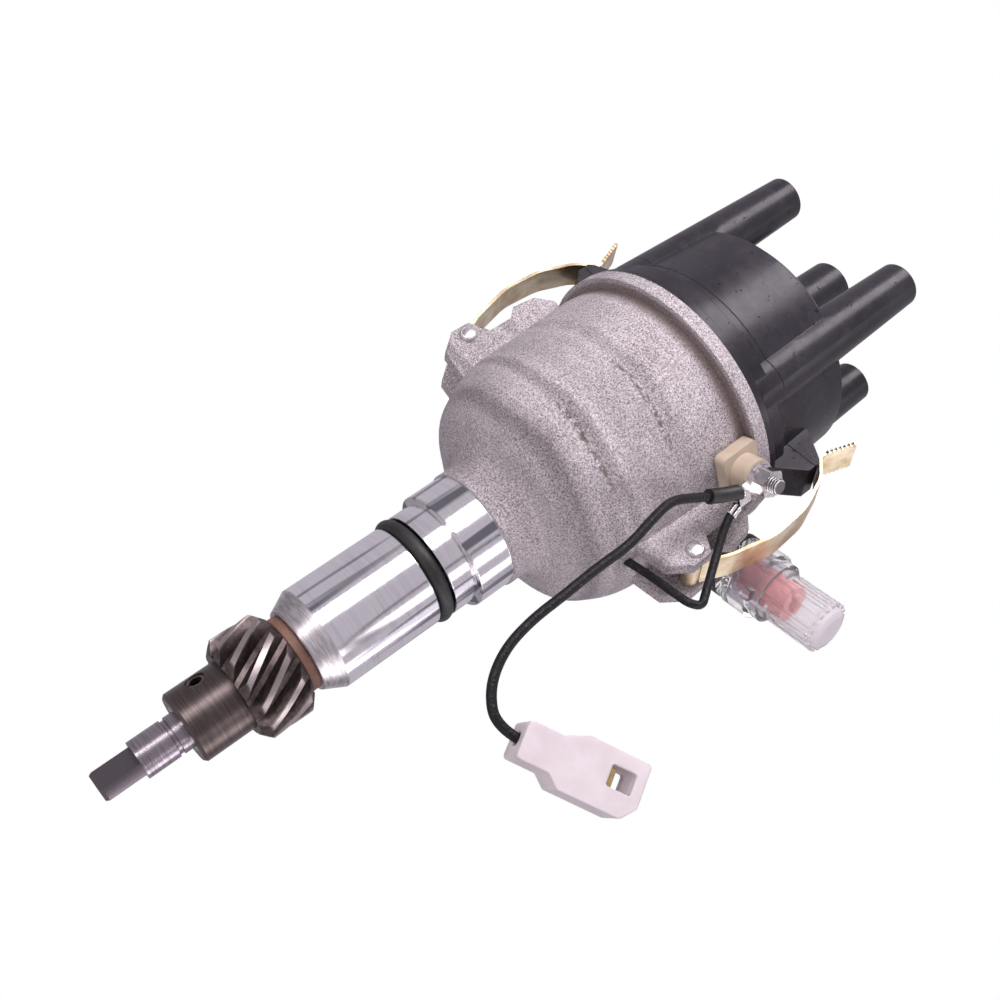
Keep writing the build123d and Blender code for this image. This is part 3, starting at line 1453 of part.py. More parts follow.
with BuildPart() as vacuum_shell_back:
    with BuildSketch(vacuum_plane):
        with BuildLine():
            Polyline(
                (can_seam + 0.7, can_r - 1.0),
                (can_seam + 0.7, vacuum_r),
                (can_seam + 1.7, vacuum_r),
                (can_seam + 1.7, can_r),
                (can_seam + 5.5, can_r - 1.0),
                (can_back, can_r - 7.2),
                (can_back + 0.5, nipple_r + 2.4),
                (can_back + 3.5, nipple_r + 1.4),
                (can_back + 5.5, nipple_r),
                (nipple_end - 4.5, nipple_r),
                (nipple_end - 3.5, nipple_r + 0.7),
                (nipple_end, nipple_r - 0.2),
                (nipple_end, nipple_r / 2),
                (can_back + 2.0, nipple_r / 2),
                (can_back - 0.5, nipple_r + 1.4),
                (can_back - 1.0, can_r - 7.8),
                (can_seam + 4.9, can_r - 2.0),
                close=True,
            )
        make_face()
    revolve(axis=vacuum_axis)
vacuum_shell_back.part.label = "vacuum_shell_back"
export_step(vacuum_shell_back.part, "parts/vacuum_shell_back.step")

with BuildPart() as vacuum_diaphragm:
    with BuildSketch(vacuum_plane):
        with BuildLine():
            Polyline(
                (can_seam + 0.1 + fit_gap, 0),
                (can_seam + 0.1 + fit_gap, vacuum_r - 0.3),
                (can_seam + 0.7 - fit_gap, vacuum_r - 0.3),
                (can_seam + 0.7 - fit_gap, 12.0),
                (can_seam + 1.5, 12.0),
                (can_seam + 1.5, 0),
                close=True,
            )
        make_face()
    revolve(axis=vacuum_axis)
vacuum_diaphragm.part.label = "vacuum_diaphragm"
export_step(vacuum_diaphragm.part, "parts/vacuum_diaphragm.step")

with BuildPart() as vacuum_spring:
    with BuildLine() as vacuum_coil:
        Helix(
            pitch=2.0,
            height=6.0,
            radius=8.0,
            center=vacuum_plane.from_local_coords((can_seam + 2.1, 0, 0)),
            direction=vacuum_plane.x_dir,
        )
    with BuildSketch(Plane(origin=vacuum_coil.line @ 0, z_dir=vacuum_coil.line % 0)):
        Circle(0.55)
    sweep(path=vacuum_coil.line, is_frenet=True)
vacuum_spring.part.label = "vacuum_spring"
export_step(vacuum_spring.part, "parts/vacuum_spring.step")

link_plane = turned_plane(vacuum_azimuth, link_z)
link_end_x, link_end_y = link_post[0], link_post[1] + 1.1
with BuildPart() as vacuum_link:
    with BuildSketch(link_plane) as link_face:
        with BuildLine():
            Polyline(
                (link_end_x - 3.2, link_end_y - 4.6),
                (link_end_x + 3.4, link_end_y - 4.6),
                (28.0, vacuum_offset - 3.0),
                (can_seam, vacuum_offset - 3.0),
                (can_seam, vacuum_offset + 3.0),
                (27.0, vacuum_offset + 3.0),
                (link_end_x - 3.2, link_end_y + 4.4),
                close=True,
            )
        make_face()
        link_axis = Axis(link_plane.origin, link_plane.x_dir)
        fillet(link_face.vertices().sort_by(link_axis)[0:2], 2.0)
        with Locations((link_end_x, link_end_y)):
            SlotOverall(6.6, 3.8, rotation=90, mode=Mode.SUBTRACT)
    extrude(amount=link_thickness)
vacuum_link.part.label = "vacuum_link"
export_step(vacuum_link.part, "parts/vacuum_link.step")
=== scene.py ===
import json
import math

import bmesh
import bpy
from mathutils import Matrix, Vector


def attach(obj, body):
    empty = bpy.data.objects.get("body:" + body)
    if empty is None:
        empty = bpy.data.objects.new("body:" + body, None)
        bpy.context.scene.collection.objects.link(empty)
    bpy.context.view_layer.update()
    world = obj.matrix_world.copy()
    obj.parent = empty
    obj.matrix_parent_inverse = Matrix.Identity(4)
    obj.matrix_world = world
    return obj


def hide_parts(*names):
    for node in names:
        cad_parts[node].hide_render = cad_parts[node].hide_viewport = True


# Ignition distributor: camera, cord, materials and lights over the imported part, in metres.
MM = 0.001

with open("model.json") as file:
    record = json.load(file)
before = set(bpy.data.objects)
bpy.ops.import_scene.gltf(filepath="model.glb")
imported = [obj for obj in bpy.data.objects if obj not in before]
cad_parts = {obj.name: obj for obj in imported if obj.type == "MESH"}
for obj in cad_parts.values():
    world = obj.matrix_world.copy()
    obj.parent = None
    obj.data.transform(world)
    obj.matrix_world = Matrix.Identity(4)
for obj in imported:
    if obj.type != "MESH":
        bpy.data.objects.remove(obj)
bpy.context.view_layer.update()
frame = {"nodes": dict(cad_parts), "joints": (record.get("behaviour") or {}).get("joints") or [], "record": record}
nodes = frame["nodes"]
slot_of = {entry["node"]: entry["material_slot"] for entry in frame["record"]["subparts"]}
joint_of = {joint["name"]: joint for joint in frame["joints"]}

# Where the materials change: heights, distances from the shaft's axis, and level directions in degrees
land_top = -0.1 * MM
cone_top = -49.6 * MM
teeth_low = -73.15 * MM
flats_top = -98.75 * MM
flats_azimuth = -150.0
flats_reach = 1.74 * MM
groove_low = 61.0 * MM
groove_high = 64.6 * MM
groove_r = 38.8 * MM
parting_line = 79.5 * MM
adjuster_azimuth = -40.0
cover_milky_from = 55.5 * MM
cover_frosted_from = 70.85 * MM
terminal_azimuth = -50.0
thread_pitch = 0.7 * MM

# Soft rings pressed into the bell, as (height, half width, strength)
dents = ((12.0 * MM, 5.0 * MM, 0.9), (23.5 * MM, 5.0 * MM, 1.0), (42.5 * MM, 6.0 * MM, 0.8))
dirt_lines = ((23.5 * MM, 1.6 * MM, 1.0), (42.5 * MM, 1.4 * MM, 1.0))
# Painted shade in bands round the bell, as (height, half width, strength)
shaded_rings = ((15.5 * MM, 5.5 * MM, 1.0), (33.5 * MM, 6.0 * MM, 0.55))

# Camera: seen from below and in front, rolled so that the shaft runs up to the right
camera_place = Vector((-2.52, -292.54, -112.04)) * MM
camera_right = Vector((0.56371, -0.32075, 0.76115))
camera_up = Vector((-0.82597, -0.21891, 0.51947))
camera_forward = Vector((0, 0.92152, 0.38833))
field_of_view = 44.941
camera_data = bpy.data.cameras.new("camera")
camera_data.angle = math.radians(field_of_view)
camera_data.clip_start = 0.01
camera_data.clip_end = 20
camera = bpy.data.objects.new("camera", camera_data)
turn = Matrix((camera_right, camera_up, -camera_forward)).transposed().to_4x4()
camera.matrix_world = Matrix.Translation(camera_place) @ turn
bpy.context.scene.collection.objects.link(camera)
bpy.context.scene.camera = camera

# Lead to the connector: the points of its route, from the crimp to the connector
lead_diameter = 2.4 * MM
lead_route = [
    (28.9, -35.12, 49.85),
    (27.0, -34.8, 45.5),
    (23.6, -37.4, 38.0),
    (20.5, -40.6, 30.6),
    (21.3, -42.8, 22.0),
    (22.9, -43.6, 13.0),
    (22.6, -43.9, 3.2),
    (23.1, -43.7, -7.0),
    (23.2, -44.0, -17.5),
    (25.0, -43.9, -26.8),
    (29.8, -44.1, -34.4),
    (37.4, -44.0, -37.9),
    (44.62, -44.1, -33.73),
]


def wire(name, route, diameter):
    """Smooth round wire that follows the route's points; each point carries the wire's radius."""
    curve = bpy.data.curves.new(name, "CURVE")
    curve.dimensions = "3D"
    curve.bevel_depth = 1.0
    curve.bevel_resolution = 6
    curve.use_fill_caps = True
    spline = curve.splines.new("NURBS")
    spline.points.add(len(route) - 1)
    for point, place in zip(spline.points, route):
        point.co = (*(Vector(place) * MM), 1)
        point.radius = diameter / 2
    spline.order_u = 3
    spline.use_endpoint_u = True
    spline.resolution_u = 10
    piece = bpy.data.objects.new(name, curve)
    bpy.context.scene.collection.objects.link(piece)
    return piece


lead = wire("lead_cord", lead_route, lead_diameter)
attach(lead, "base")
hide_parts("lead_wire")


class Shader:
    """Short calls for a material's node tree."""

    def __init__(self, name):
        self.material = bpy.data.materials.new(name)
        self.material.use_nodes = True
        self.tree = self.material.node_tree
        self.tree.nodes.clear()
        self.output = self.add("ShaderNodeOutputMaterial")
        self.surface = self.add("ShaderNodeBsdfPrincipled")
        self.tree.links.new(self.surface.outputs[0], self.output.inputs["Surface"])
        self.place = self.add("ShaderNodeTexCoord").outputs["Object"]

    def add(self, kind, **settings):
        node = self.tree.nodes.new(kind)
        for key, value in settings.items():
            setattr(node, key, value)
        return node

    def put(self, socket, value):
        """Sets a socket to a number or colour, or links another socket to it."""
        if isinstance(value, bpy.types.NodeSocket):
            self.tree.links.new(value, socket)
        else:
            socket.default_value = value

    def set(self, **values):
        for key, value in values.items():
            self.put(self.surface.inputs[key.replace("_", " ")], value)

    def math(self, operation, first, second=0.0, clamp=False):
        node = self.add("ShaderNodeMath", operation=operation, use_clamp=clamp)
        self.put(node.inputs[0], first)
        self.put(node.inputs[1], second)
        return node.outputs[0]

    def mix(self, factor, first, second):
        """Mixes two colours."""
        node = self.add("ShaderNodeMix", data_type="RGBA")
        self.put(node.inputs[0], factor)
        self.put(node.inputs[6], first)
        self.put(node.inputs[7], second)
        return node.outputs[2]

    def blend(self, factor, first, second):
        """Mixes two numbers."""
        node = self.add("ShaderNodeMix", data_type="FLOAT")
        self.put(node.inputs[0], factor)
        self.put(node.inputs[2], first)
        self.put(node.inputs[3], second)
        return node.outputs[0]

    def stretch(self, scale):
        """Object coordinates with a scale for each axis."""
        node = self.add("ShaderNodeMapping")
        self.put(node.inputs["Vector"], self.place)
        self.put(node.inputs["Scale"], scale)
        return node.outputs[0]

    def noise(self, scale, detail=3.0, roughness=0.6, vector=None):
        node = self.add("ShaderNodeTexNoise")
        self.put(node.inputs["Vector"], self.place if vector is None else vector)
        node.inputs["Scale"].default_value = scale
        node.inputs["Detail"].default_value = detail
        node.inputs["Roughness"].default_value = roughness
        return node.outputs[0]

    def ramp(self, value, low, high, low_to=0.0, high_to=1.0):
        """Maps low..high to low_to..high_to, held at both ends."""
        node = self.add("ShaderNodeMapRange", clamp=True)
        self.put(node.inputs["Value"], value)
        self.put(node.inputs["From Min"], low)
        self.put(node.inputs["From Max"], high)
        self.put(node.inputs["To Min"], low_to)
        self.put(node.inputs["To Max"], high_to)
        return node.outputs[0]

    def band(self, value, centre, half):
        """1 at the centre, falling softly to 0 at half on both sides."""
        away = self.math("ABSOLUTE", self.math("SUBTRACT", value, centre))
        node = self.add("ShaderNodeMapRange", interpolation_type="SMOOTHSTEP")
        self.put(node.inputs["Value"], away)
        node.inputs["From Min"].default_value = half
        node.inputs["From Max"].default_value = 0
        return node.outputs[0]

    def bands(self, value, rings):
        """Sum of the bands of rings given as (centre, half, strength)."""
        total = 0.0
        for centre, half, strength in rings:
            total = self.plus(total, self.times(self.band(value, centre, half), strength))
        return total

    def step(self, value, place, reach=0.0002):
        """0 below the place and 1 above it, over a reach to both sides; a negative reach swaps them."""
        return self.ramp(value, place - reach, place + reach)

    def times(self, first, second):
        return self.math("MULTIPLY", first, second)

    def plus(self, first, second):
        return self.math("ADD", first, second)

    def radius(self):
        """Distance from the shaft's axis."""
        x, y = self.axes()[:2]
        return self.math("SQRT", self.plus(self.times(x, x), self.times(y, y)))

    def along(self, azimuth):
        """Distance from the shaft's axis along a level direction."""
        x, y = self.axes()[:2]
        turn = math.radians(azimuth)
        return self.plus(self.times(x, math.cos(turn)), self.times(y, math.sin(turn)))

    def soft_edges(self, reach):
        """Normals that round the edges by this much."""
        node = self.add("ShaderNodeBevel", samples=6)
        node.inputs["Radius"].default_value = reach
        return node.outputs[0]

    def turned_highlight(self, amount):
        """Stretches highlights along the shaft, as fine turning lines do."""
        tangent = self.add("ShaderNodeTangent", direction_type="RADIAL", axis="Z")
        self.set(Anisotropic=amount, Anisotropic_Rotation=0.25, Tangent=tangent.outputs[0])

    def axes(self):
        """X, Y and Z of the object coordinates, which are the part's own."""
        node = self.add("ShaderNodeSeparateXYZ")
        self.put(node.inputs[0], self.place)
        return node.outputs

    def bump(self, height, distance, strength=1.0, normal=None):
        node = self.add("ShaderNodeBump")
        node.inputs["Strength"].default_value = strength
        node.inputs["Distance"].default_value = distance
        self.put(node.inputs["Height"], height)
        if normal is not None:
            self.put(node.inputs["Normal"], normal)
        return node.outputs[0]


def rgb(red, green, blue):
    return (red, green, blue, 1.0)


def cast_housing():
    """Bead-blasted casting with soft rings and grime above the land, bright turned metal below."""
    s = Shader("cast_housing")
    x, y, z = s.axes()
    cast = s.step(z, land_top)
    radius = s.radius()
    # Casting: mixed light and dark grains with a faint lilac tint
    grain = s.noise(2300, 4, 0.75)
    fine = s.noise(3200, 2, 0.5)
    patches = s.noise(60, 4, 0.6)
    base = s.mix(s.ramp(patches, 0.38, 0.62), rgb(0.26, 0.23, 0.238), rgb(0.47, 0.43, 0.445))
    grains = s.mix(s.ramp(grain, 0.42, 0.58), rgb(0.09, 0.07, 0.078), rgb(0.86, 0.80, 0.83))
    cast_colour = s.mix(0.58, base, grains)
    # Painted glints: near-white specks mixed into the casting's colour
    painted_glints = s.ramp(fine, 0.57, 0.63)
    cast_colour = s.mix(s.times(painted_glints, 0.6), cast_colour, rgb(1.0, 0.97, 0.98))
    # Soft rings round the bell, with dirt left in them towards the front
    wobble = s.times(s.math("SUBTRACT", s.noise(28, 2, 0.5), 0.5), 0.007)
    ring_z = s.plus(z, wobble)
    rings = s.bands(ring_z, dents)
    front = s.times(s.ramp(y, -0.026, -0.033), s.times(s.ramp(x, 0.018, 0.008), s.ramp(x, -0.022, -0.012)))
    crumbs = s.ramp(s.noise(620, 4, 0.7), 0.46, 0.56)
    dirt = s.times(s.times(s.bands(ring_z, dirt_lines), front), crumbs)
    smudge = s.ramp(s.noise(38, 5, 0.7), 0.60, 0.76, 0, 0.35)
    cast_colour = s.mix(s.math("MAXIMUM", dirt, smudge), cast_colour, rgb(0.13, 0.10, 0.085))
    # Painted shade, dark brown, in the groove under the rim's lip and inside the bell
    painted_groove_shade = s.times(s.step(z, groove_low, 0.0015), s.step(z, groove_high, -0.0004))
    painted_groove_shade = s.times(painted_groove_shade, s.step(radius, groove_r, -0.0004))
    cast_colour = s.mix(s.times(painted_groove_shade, 0.8), cast_colour, rgb(0.15, 0.105, 0.09))
    # Painted shade in broad bands round the bell
    shade = s.times(s.bands(ring_z, shaded_rings), 0.34)
    cast_colour = s.mix(shade, cast_colour, rgb(0.10, 0.085, 0.095))
    # Turned metal: fine rings of uneven depth, painted dark reflections as lengthwise streaks, a dull grey cone at
    # the end
    lines = s.noise(1.0, 4, 0.75, s.stretch((60, 60, 5200)))
    broad = s.noise(1.0, 3, 0.6, s.stretch((35, 35, 520)))
    turned = s.mix(s.ramp(lines, 0.3, 0.7), rgb(0.82, 0.81, 0.85), rgb(0.98, 0.97, 0.99))
    turned = s.mix(s.ramp(broad, 0.52, 0.72, 0, 0.3), turned, rgb(0.55, 0.53, 0.57))
    # Painted dark reflections: near-black streaks along the shank
    streaks = s.ramp(s.noise(1.0, 3, 0.55, s.stretch((120, 120, 5))), 0.51, 0.56, 0, 0.80)
    turned = s.mix(streaks, turned, rgb(0.10, 0.10, 0.125))
    cone = s.step(z, cone_top, -0.0002)
    cone_rings = s.noise(1.0, 3, 0.7, s.stretch((260, 260, 2600)))
    cone_colour = s.mix(s.ramp(cone_rings, 0.35, 0.65), rgb(0.42, 0.40, 0.415), rgb(0.74, 0.72, 0.73))
    turned = s.mix(cone, turned, cone_colour)
    turned_rough = s.blend(cone, s.ramp(lines, 0.3, 0.7, 0.17, 0.10), 0.36)
    s.set(
        Base_Color=s.mix(cast, turned, cast_colour),
        Metallic=s.blend(cast, 1.0, 0.35),
        Roughness=s.blend(cast, turned_rough, s.ramp(grain, 0.3, 0.7, 0.66, 0.46)),
    )
    s.turned_highlight(s.blend(cast, 0.75, 0.0))
    sunk = s.math("SUBTRACT", 1.0, s.times(rings, cast))
    soft = s.bump(sunk, 0.0030, 1.0, s.soft_edges(0.0006))
    turned_only = s.math("SUBTRACT", 1.0, cast)
    turned_bump = s.bump(s.times(lines, turned_only), 0.000018, 0.6, soft)
    sand = s.plus(grain, s.times(s.noise(900, 3, 0.7), 1.3))
    s.set(Normal=s.bump(s.times(sand, cast), 0.00026, 0.95, turned_bump))
    return s.material


def gear_steel():
    """Brown hardened gear with rubbed tooth crests, and a turned brown collar."""
    s = Shader("gear_steel")
    z = s.axes()[2]
    teeth = s.step(z, teeth_low, 0.0001)
    crest = s.ramp(s.plus(s.radius(), s.times(s.noise(300, 3, 0.6), 0.0008)), 0.0137, 0.0143)
    shade = s.noise(420, 4, 0.7)
    flank = s.mix(s.ramp(shade, 0.35, 0.65), rgb(0.065, 0.052, 0.050), rgb(0.170, 0.138, 0.132))
    tooth = s.mix(crest, flank, rgb(0.40, 0.355, 0.345))
    lines = s.noise(1.0, 4, 0.7, s.stretch((90, 90, 4200)))
    collar = s.mix(s.ramp(lines, 0.32, 0.68), rgb(0.070, 0.056, 0.053), rgb(0.165, 0.136, 0.130))
    collar = s.mix(s.ramp(s.noise(60, 3), 0.45, 0.7, 0, 0.5), collar, rgb(0.085, 0.062, 0.054))
    s.set(
        Base_Color=s.mix(teeth, collar, tooth),
        Metallic=1.0,
        Roughness=s.blend(teeth, 0.34, s.blend(crest, 0.42, 0.30)),
        Normal=s.bump(s.blend(teeth, lines, shade), 0.00003, 0.7),
    )
    s.turned_highlight(s.blend(teeth, 0.5, 0.0))
    return s.material


def shaft_steel():
    """Turned dark steel with lilac sheen; the flats at its end carry a painted dark reflection, nearly black."""
    s = Shader("shaft_steel")
    z = s.axes()[2]
    across = s.math("ABSOLUTE", s.along(flats_azimuth))
    # Flats at the end: painted dark reflection in their colour, and a duller finish
    dark_painted_flats = s.times(s.step(across, flats_reach, -0.00002), s.step(z, flats_top, -0.00015))
    lines = s.noise(1.0, 4, 0.7, s.stretch((120, 120, 3600)))
    turned = s.mix(s.ramp(lines, 0.3, 0.7), rgb(0.20, 0.18, 0.20), rgb(0.46, 0.42, 0.46))
    s.set(
        Base_Color=s.mix(dark_painted_flats, turned, rgb(0.16, 0.14, 0.155)),
        Metallic=1.0,
        Roughness=s.blend(dark_painted_flats, s.ramp(lines, 0.3, 0.7, 0.30, 0.20), 0.42),
        Normal=s.bump(lines, 0.00003, 0.6),
    )
    s.turned_highlight(0.4)
    return s.material


def worn_metal(name, dark, light, rough, scale=400, bump=0.00002, stain=None):
    """Metal with fine brushing, uneven colour and small stains."""
    s = Shader(name)
    brushed = s.noise(scale, 4, 0.7)
    patches = s.noise(90, 4, 0.6)
    colour = s.mix(s.ramp(brushed, 0.3, 0.7), rgb(*dark), rgb(*light))
    colour = s.mix(s.ramp(patches, 0.45, 0.75, 0, 0.5), colour, rgb(*(stain or dark)))
    s.set(
        Base_Color=colour,
        Metallic=1.0,
        Roughness=s.ramp(s.math("ADD", brushed, patches), 0.7, 1.3, rough - 0.08, rough + 0.10),
        Normal=s.bump(brushed, bump, 0.6),
    )
    return s.material


def moulded(name, dark, light, rough, speck=1500, bump=0.00001, coat=0.0):
    """Moulded plastic or rubber with a faint skin and uneven shade."""
    s = Shader(name)
    shade = s.noise(120, 4, 0.6)
    skin = s.noise(speck, 3, 0.6)
    s.set(
        Base_Color=s.mix(s.ramp(shade, 0.35, 0.7), rgb(*dark), rgb(*light)),
        Roughness=s.ramp(skin, 0.3, 0.7, rough - 0.05, rough + 0.08),
        Coat_Weight=coat,
        Normal=s.bump(skin, bump, 0.5),
    )
    return s.material


def cap_bakelite():
    """Glossy black moulding with a parting line, small pits and rubbed dust."""
    s = Shader("cap_bakelite")
    z = s.axes()[2]
    shade = s.noise(70, 4, 0.6)
    dust = s.ramp(s.noise(150, 6, 0.75), 0.52, 0.72, 0, 0.35)
    pits = s.ramp(s.noise(700, 2, 0.5), 0.70, 0.74)
    seam = s.band(z, parting_line, 0.00022)
    dents = s.plus(s.times(s.math("MAXIMUM", pits, seam), -1.0), s.times(shade, 0.5))
    colour = s.mix(s.ramp(shade, 0.35, 0.7), rgb(0.018, 0.016, 0.021), rgb(0.034, 0.031, 0.039))
    colour = s.mix(dust, colour, rgb(0.075, 0.067, 0.080))
    colour = s.mix(s.math("MAXIMUM", pits, seam), colour, rgb(0.006, 0.005, 0.007))
    s.set(
        Base_Color=colour,
        Roughness=s.ramp(s.noise(240, 5, 0.7), 0.35, 0.7, 0.24, 0.38),
        Specular_IOR_Level=0.30,
        Normal=s.bump(dents, 0.00022, 0.8, s.soft_edges(0.0004)),
    )
    return s.material


def threaded_zinc(name, azimuth):
    """Zinc with a thread's rings along a level axis; its valleys are darkened with painted shade."""
    s = Shader(name)
    thread = s.math("SINE", s.times(s.along(azimuth), math.tau / thread_pitch))
    s.set(
        Base_Color=s.mix(s.ramp(thread, -0.6, 0.6), rgb(0.22, 0.21, 0.21), rgb(0.80, 0.79, 0.78)),
        Metallic=1.0,
        Roughness=0.26,
        Normal=s.bump(thread, 0.00025, 0.9),
    )
    return s.material


def plated_clip():
    """Yellow-passivated spring steel with brown and greenish clouds."""
    s = Shader("plated_clip")
    cloud = s.noise(110, 4, 0.65)
    tint = s.noise(60, 3, 0.6)
    colour = s.mix(s.ramp(cloud, 0.35, 0.65), rgb(0.58, 0.45, 0.24), rgb(0.90, 0.82, 0.62))
    colour = s.mix(s.ramp(tint, 0.48, 0.66, 0, 0.65), colour, rgb(0.42, 0.26, 0.13))
    scratches = s.noise(1.0, 3, 0.6, s.stretch((700, 700, 90)))
    s.set(
        Base_Color=colour,
        Metallic=1.0,
        Roughness=s.ramp(scratches, 0.35, 0.65, 0.40, 0.28),
        Normal=s.bump(scratches, 0.00002, 0.3),
    )
    return s.material


def braided_wire():
    """Black insulated wire with a fine woven skin and painted glints here and there."""
    s = Shader("black_sleeve")
    weave = s.add("ShaderNodeTexVoronoi")
    s.put(weave.inputs["Vector"], s.place)
    weave.inputs["Scale"].default_value = 1500
    painted_glint = s.ramp(s.noise(900, 3, 0.6), 0.62, 0.70)
    s.set(
        Base_Color=s.mix(painted_glint, rgb(0.004, 0.004, 0.005), rgb(0.045, 0.042, 0.048)),
        Roughness=0.50,
        Specular_IOR_Level=0.3,
        Normal=s.bump(weave.outputs["Distance"], 0.00014, 0.9),
    )
    return s.material


def milky_nylon():
    """Translucent white nylon with a lilac cast."""
    s = Shader("white_nylon")
    cloud = s.noise(160, 3, 0.6)
    s.set(
        Base_Color=s.mix(s.ramp(cloud, 0.35, 0.7), rgb(0.66, 0.60, 0.62), rgb(0.73, 0.68, 0.70)),
        Roughness=0.42,
        Subsurface_Weight=0.4,
        Subsurface_Radius=(0.003, 0.0026, 0.0027),
        Subsurface_Scale=1.0,
        Normal=s.bump(s.noise(800, 2), 0.00002, 0.5, s.soft_edges(0.0006)),
    )
    return s.material


def clear_plastic():
    """Clear moulded plastic with faint streaks; the cover is milky, and frosted at its outer end."""
    s = Shader("clear_plastic")
    along = s.along(adjuster_azimuth)
    frost = s.step(along, cover_frosted_from, 0.00135)
    milk = s.step(along, cover_milky_from, 0.002)
    streak = s.noise(500, 3, 0.6)
    clear_rough = s.plus(s.ramp(streak, 0.3, 0.7, 0.04, 0.12), s.times(milk, 0.08))
    s.set(
        Base_Color=s.mix(frost, rgb(0.95, 0.93, 0.96), rgb(0.88, 0.84, 0.88)),
        Roughness=s.blend(frost, clear_rough, 0.45),
        IOR=1.40,
        Transmission_Weight=s.blend(frost, s.blend(milk, 0.93, 0.86), 0.55),
        Normal=s.bump(streak, 0.00003, 0.4),
    )
    return s.material


materials = {
    "cast_housing": cast_housing(),
    "dark_steel": worn_metal(
        "dark_steel", (0.10, 0.085, 0.075), (0.30, 0.265, 0.24), 0.36, scale=900, stain=(0.16, 0.11, 0.08)
    ),
    "steel": worn_metal("steel", (0.46, 0.45, 0.46), (0.70, 0.69, 0.70), 0.36),
    "zinc_steel": worn_metal(
        "zinc_steel", (0.62, 0.60, 0.60), (0.88, 0.86, 0.86), 0.20, scale=500, bump=0.000006
    ),
    "yellow_steel": worn_metal(
        "yellow_steel", (0.62, 0.50, 0.24), (0.88, 0.78, 0.52), 0.28, scale=500, stain=(0.72, 0.60, 0.44)
    ),
    "bronze": worn_metal("bronze", (0.36, 0.22, 0.11), (0.56, 0.38, 0.22), 0.42),
    "brass": worn_metal("brass", (0.55, 0.38, 0.14), (0.84, 0.66, 0.34), 0.26, stain=(0.62, 0.44, 0.22)),
    "black_rubber": moulded(
        "black_rubber", (0.008, 0.008, 0.008), (0.020, 0.020, 0.021), 0.48, speck=900, bump=0.00004
    ),
    "fibre": moulded("fibre", (0.13, 0.062, 0.045), (0.26, 0.135, 0.095), 0.55, speck=1800, bump=0.00004),
    "black_bakelite": moulded(
        "black_bakelite", (0.010, 0.009, 0.012), (0.020, 0.018, 0.024), 0.24, 1300, bump=0.00002, coat=0.25
    ),
    "carbon": moulded("carbon", (0.02, 0.02, 0.02), (0.05, 0.05, 0.05), 0.45),
    "beige_plastic": moulded(
        "beige_plastic", (0.49, 0.40, 0.30), (0.61, 0.52, 0.41), 0.45, speck=900, bump=0.00004
    ),
    "black_sleeve": braided_wire(),
    "white_nylon": milky_nylon(),
    "clear_plastic": clear_plastic(),
    "red_plastic": moulded("red_plastic", (0.80, 0.17, 0.17), (0.90, 0.28, 0.28), 0.30),
    "felt": moulded("felt", (0.55, 0.52, 0.45), (0.74, 0.71, 0.64), 0.9, speck=2500, bump=0.0001),
}
own_materials = {
    "drive_gear": gear_steel(),
    "roll_pin": materials["dark_steel"],
    "shaft": shaft_steel(),
    "cap": cap_bakelite(),
    "clip_1": plated_clip(),
    "clip_2": plated_clip(),
    "clip_pins": materials["zinc_steel"],
    "terminal_bolt": threaded_zinc("terminal_thread", terminal_azimuth),
}
for name, piece in nodes.items():
    piece.data.materials.clear()
    piece.data.materials.append(own_materials.get(name, materials[slot_of[name]]))
lead.data.materials.append(materials["black_sleeve"])


def outward(azimuth, distance, offset, height):
    """Place in metres from millimetres along an azimuth, along its tangent and up."""
    x, y = math.cos(math.radians(azimuth)), math.sin(math.radians(azimuth))
    return Vector((x * distance - y * offset, y * distance + x * offset, height)) * MM


def join_rings(build, rings, closed):
    """Faces between each ring of points and the next."""
    count = len(rings[0])
    for low, high in zip(rings, rings[1:]):
        for step in range(count if closed else count - 1):
            after = (step + 1) % count
            build.faces.new((low[step], low[after], high[after], high[step]))


def add_piece(name, build, body, material, smooth=True):
    """Makes the built mesh into a piece that rides on a body."""
    bmesh.ops.recalc_face_normals(build, faces=build.faces)
    mesh = bpy.data.meshes.new(name)
    build.to_mesh(mesh)
    build.free()
    piece = bpy.data.objects.new(name, mesh)
    bpy.context.scene.collection.objects.link(piece)
    for face in mesh.polygons:
        face.use_smooth = smooth
    mesh.materials.append(material)
    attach(piece, body)
    return piece


# Domed heads on the clips' pins, at the lugs' outer faces
rivet_reach = 8.3
rivet_r = 2.55
rivet_height = 1.25
rivet_steps = 28
rivet_rings = 8
rivet_top_r = 0.01


def rivet_heads(clip, azimuth, distance, height):
    """Two domes, one on each end of a clip's pin."""
    domes = bmesh.new()
    across = outward(azimuth, 1, 0, 0).normalized()
    for side in (-1, 1):
        foot = outward(azimuth, distance, side * rivet_reach, height)
        outer = outward(azimuth, 0, side, 0).normalized()
        rings = []
        for level in range(rivet_rings + 1):
            rise = math.radians(90 * level / rivet_rings)
            reach = max(rivet_r * math.cos(rise), rivet_top_r)
            middle_place = foot + outer * (rivet_height * math.sin(rise) * MM)
            ring = []
            for step in range(rivet_steps):
                turn = step * math.tau / rivet_steps
                spoke = across * math.cos(turn) + Vector((0, 0, 1)) * math.sin(turn)
                ring.append(domes.verts.new(middle_place + spoke * (reach * MM)))
            rings.append(ring)
        join_rings(domes, rings, closed=True)
    add_piece(f"rivet_heads_{clip}", domes, "base", materials["steel"])


# Saw teeth along both edges of each clip's free end, given by its distance and height at both ends
tab_low = Vector((44.4, 85.6))
tab_high = Vector((47.4, 94.2))
tooth_count = 7
tooth_height = 0.7
tooth_root = -0.3
tooth_tip_share = 0.55
clip_half_width = 4.5
clip_half_thickness = 0.38


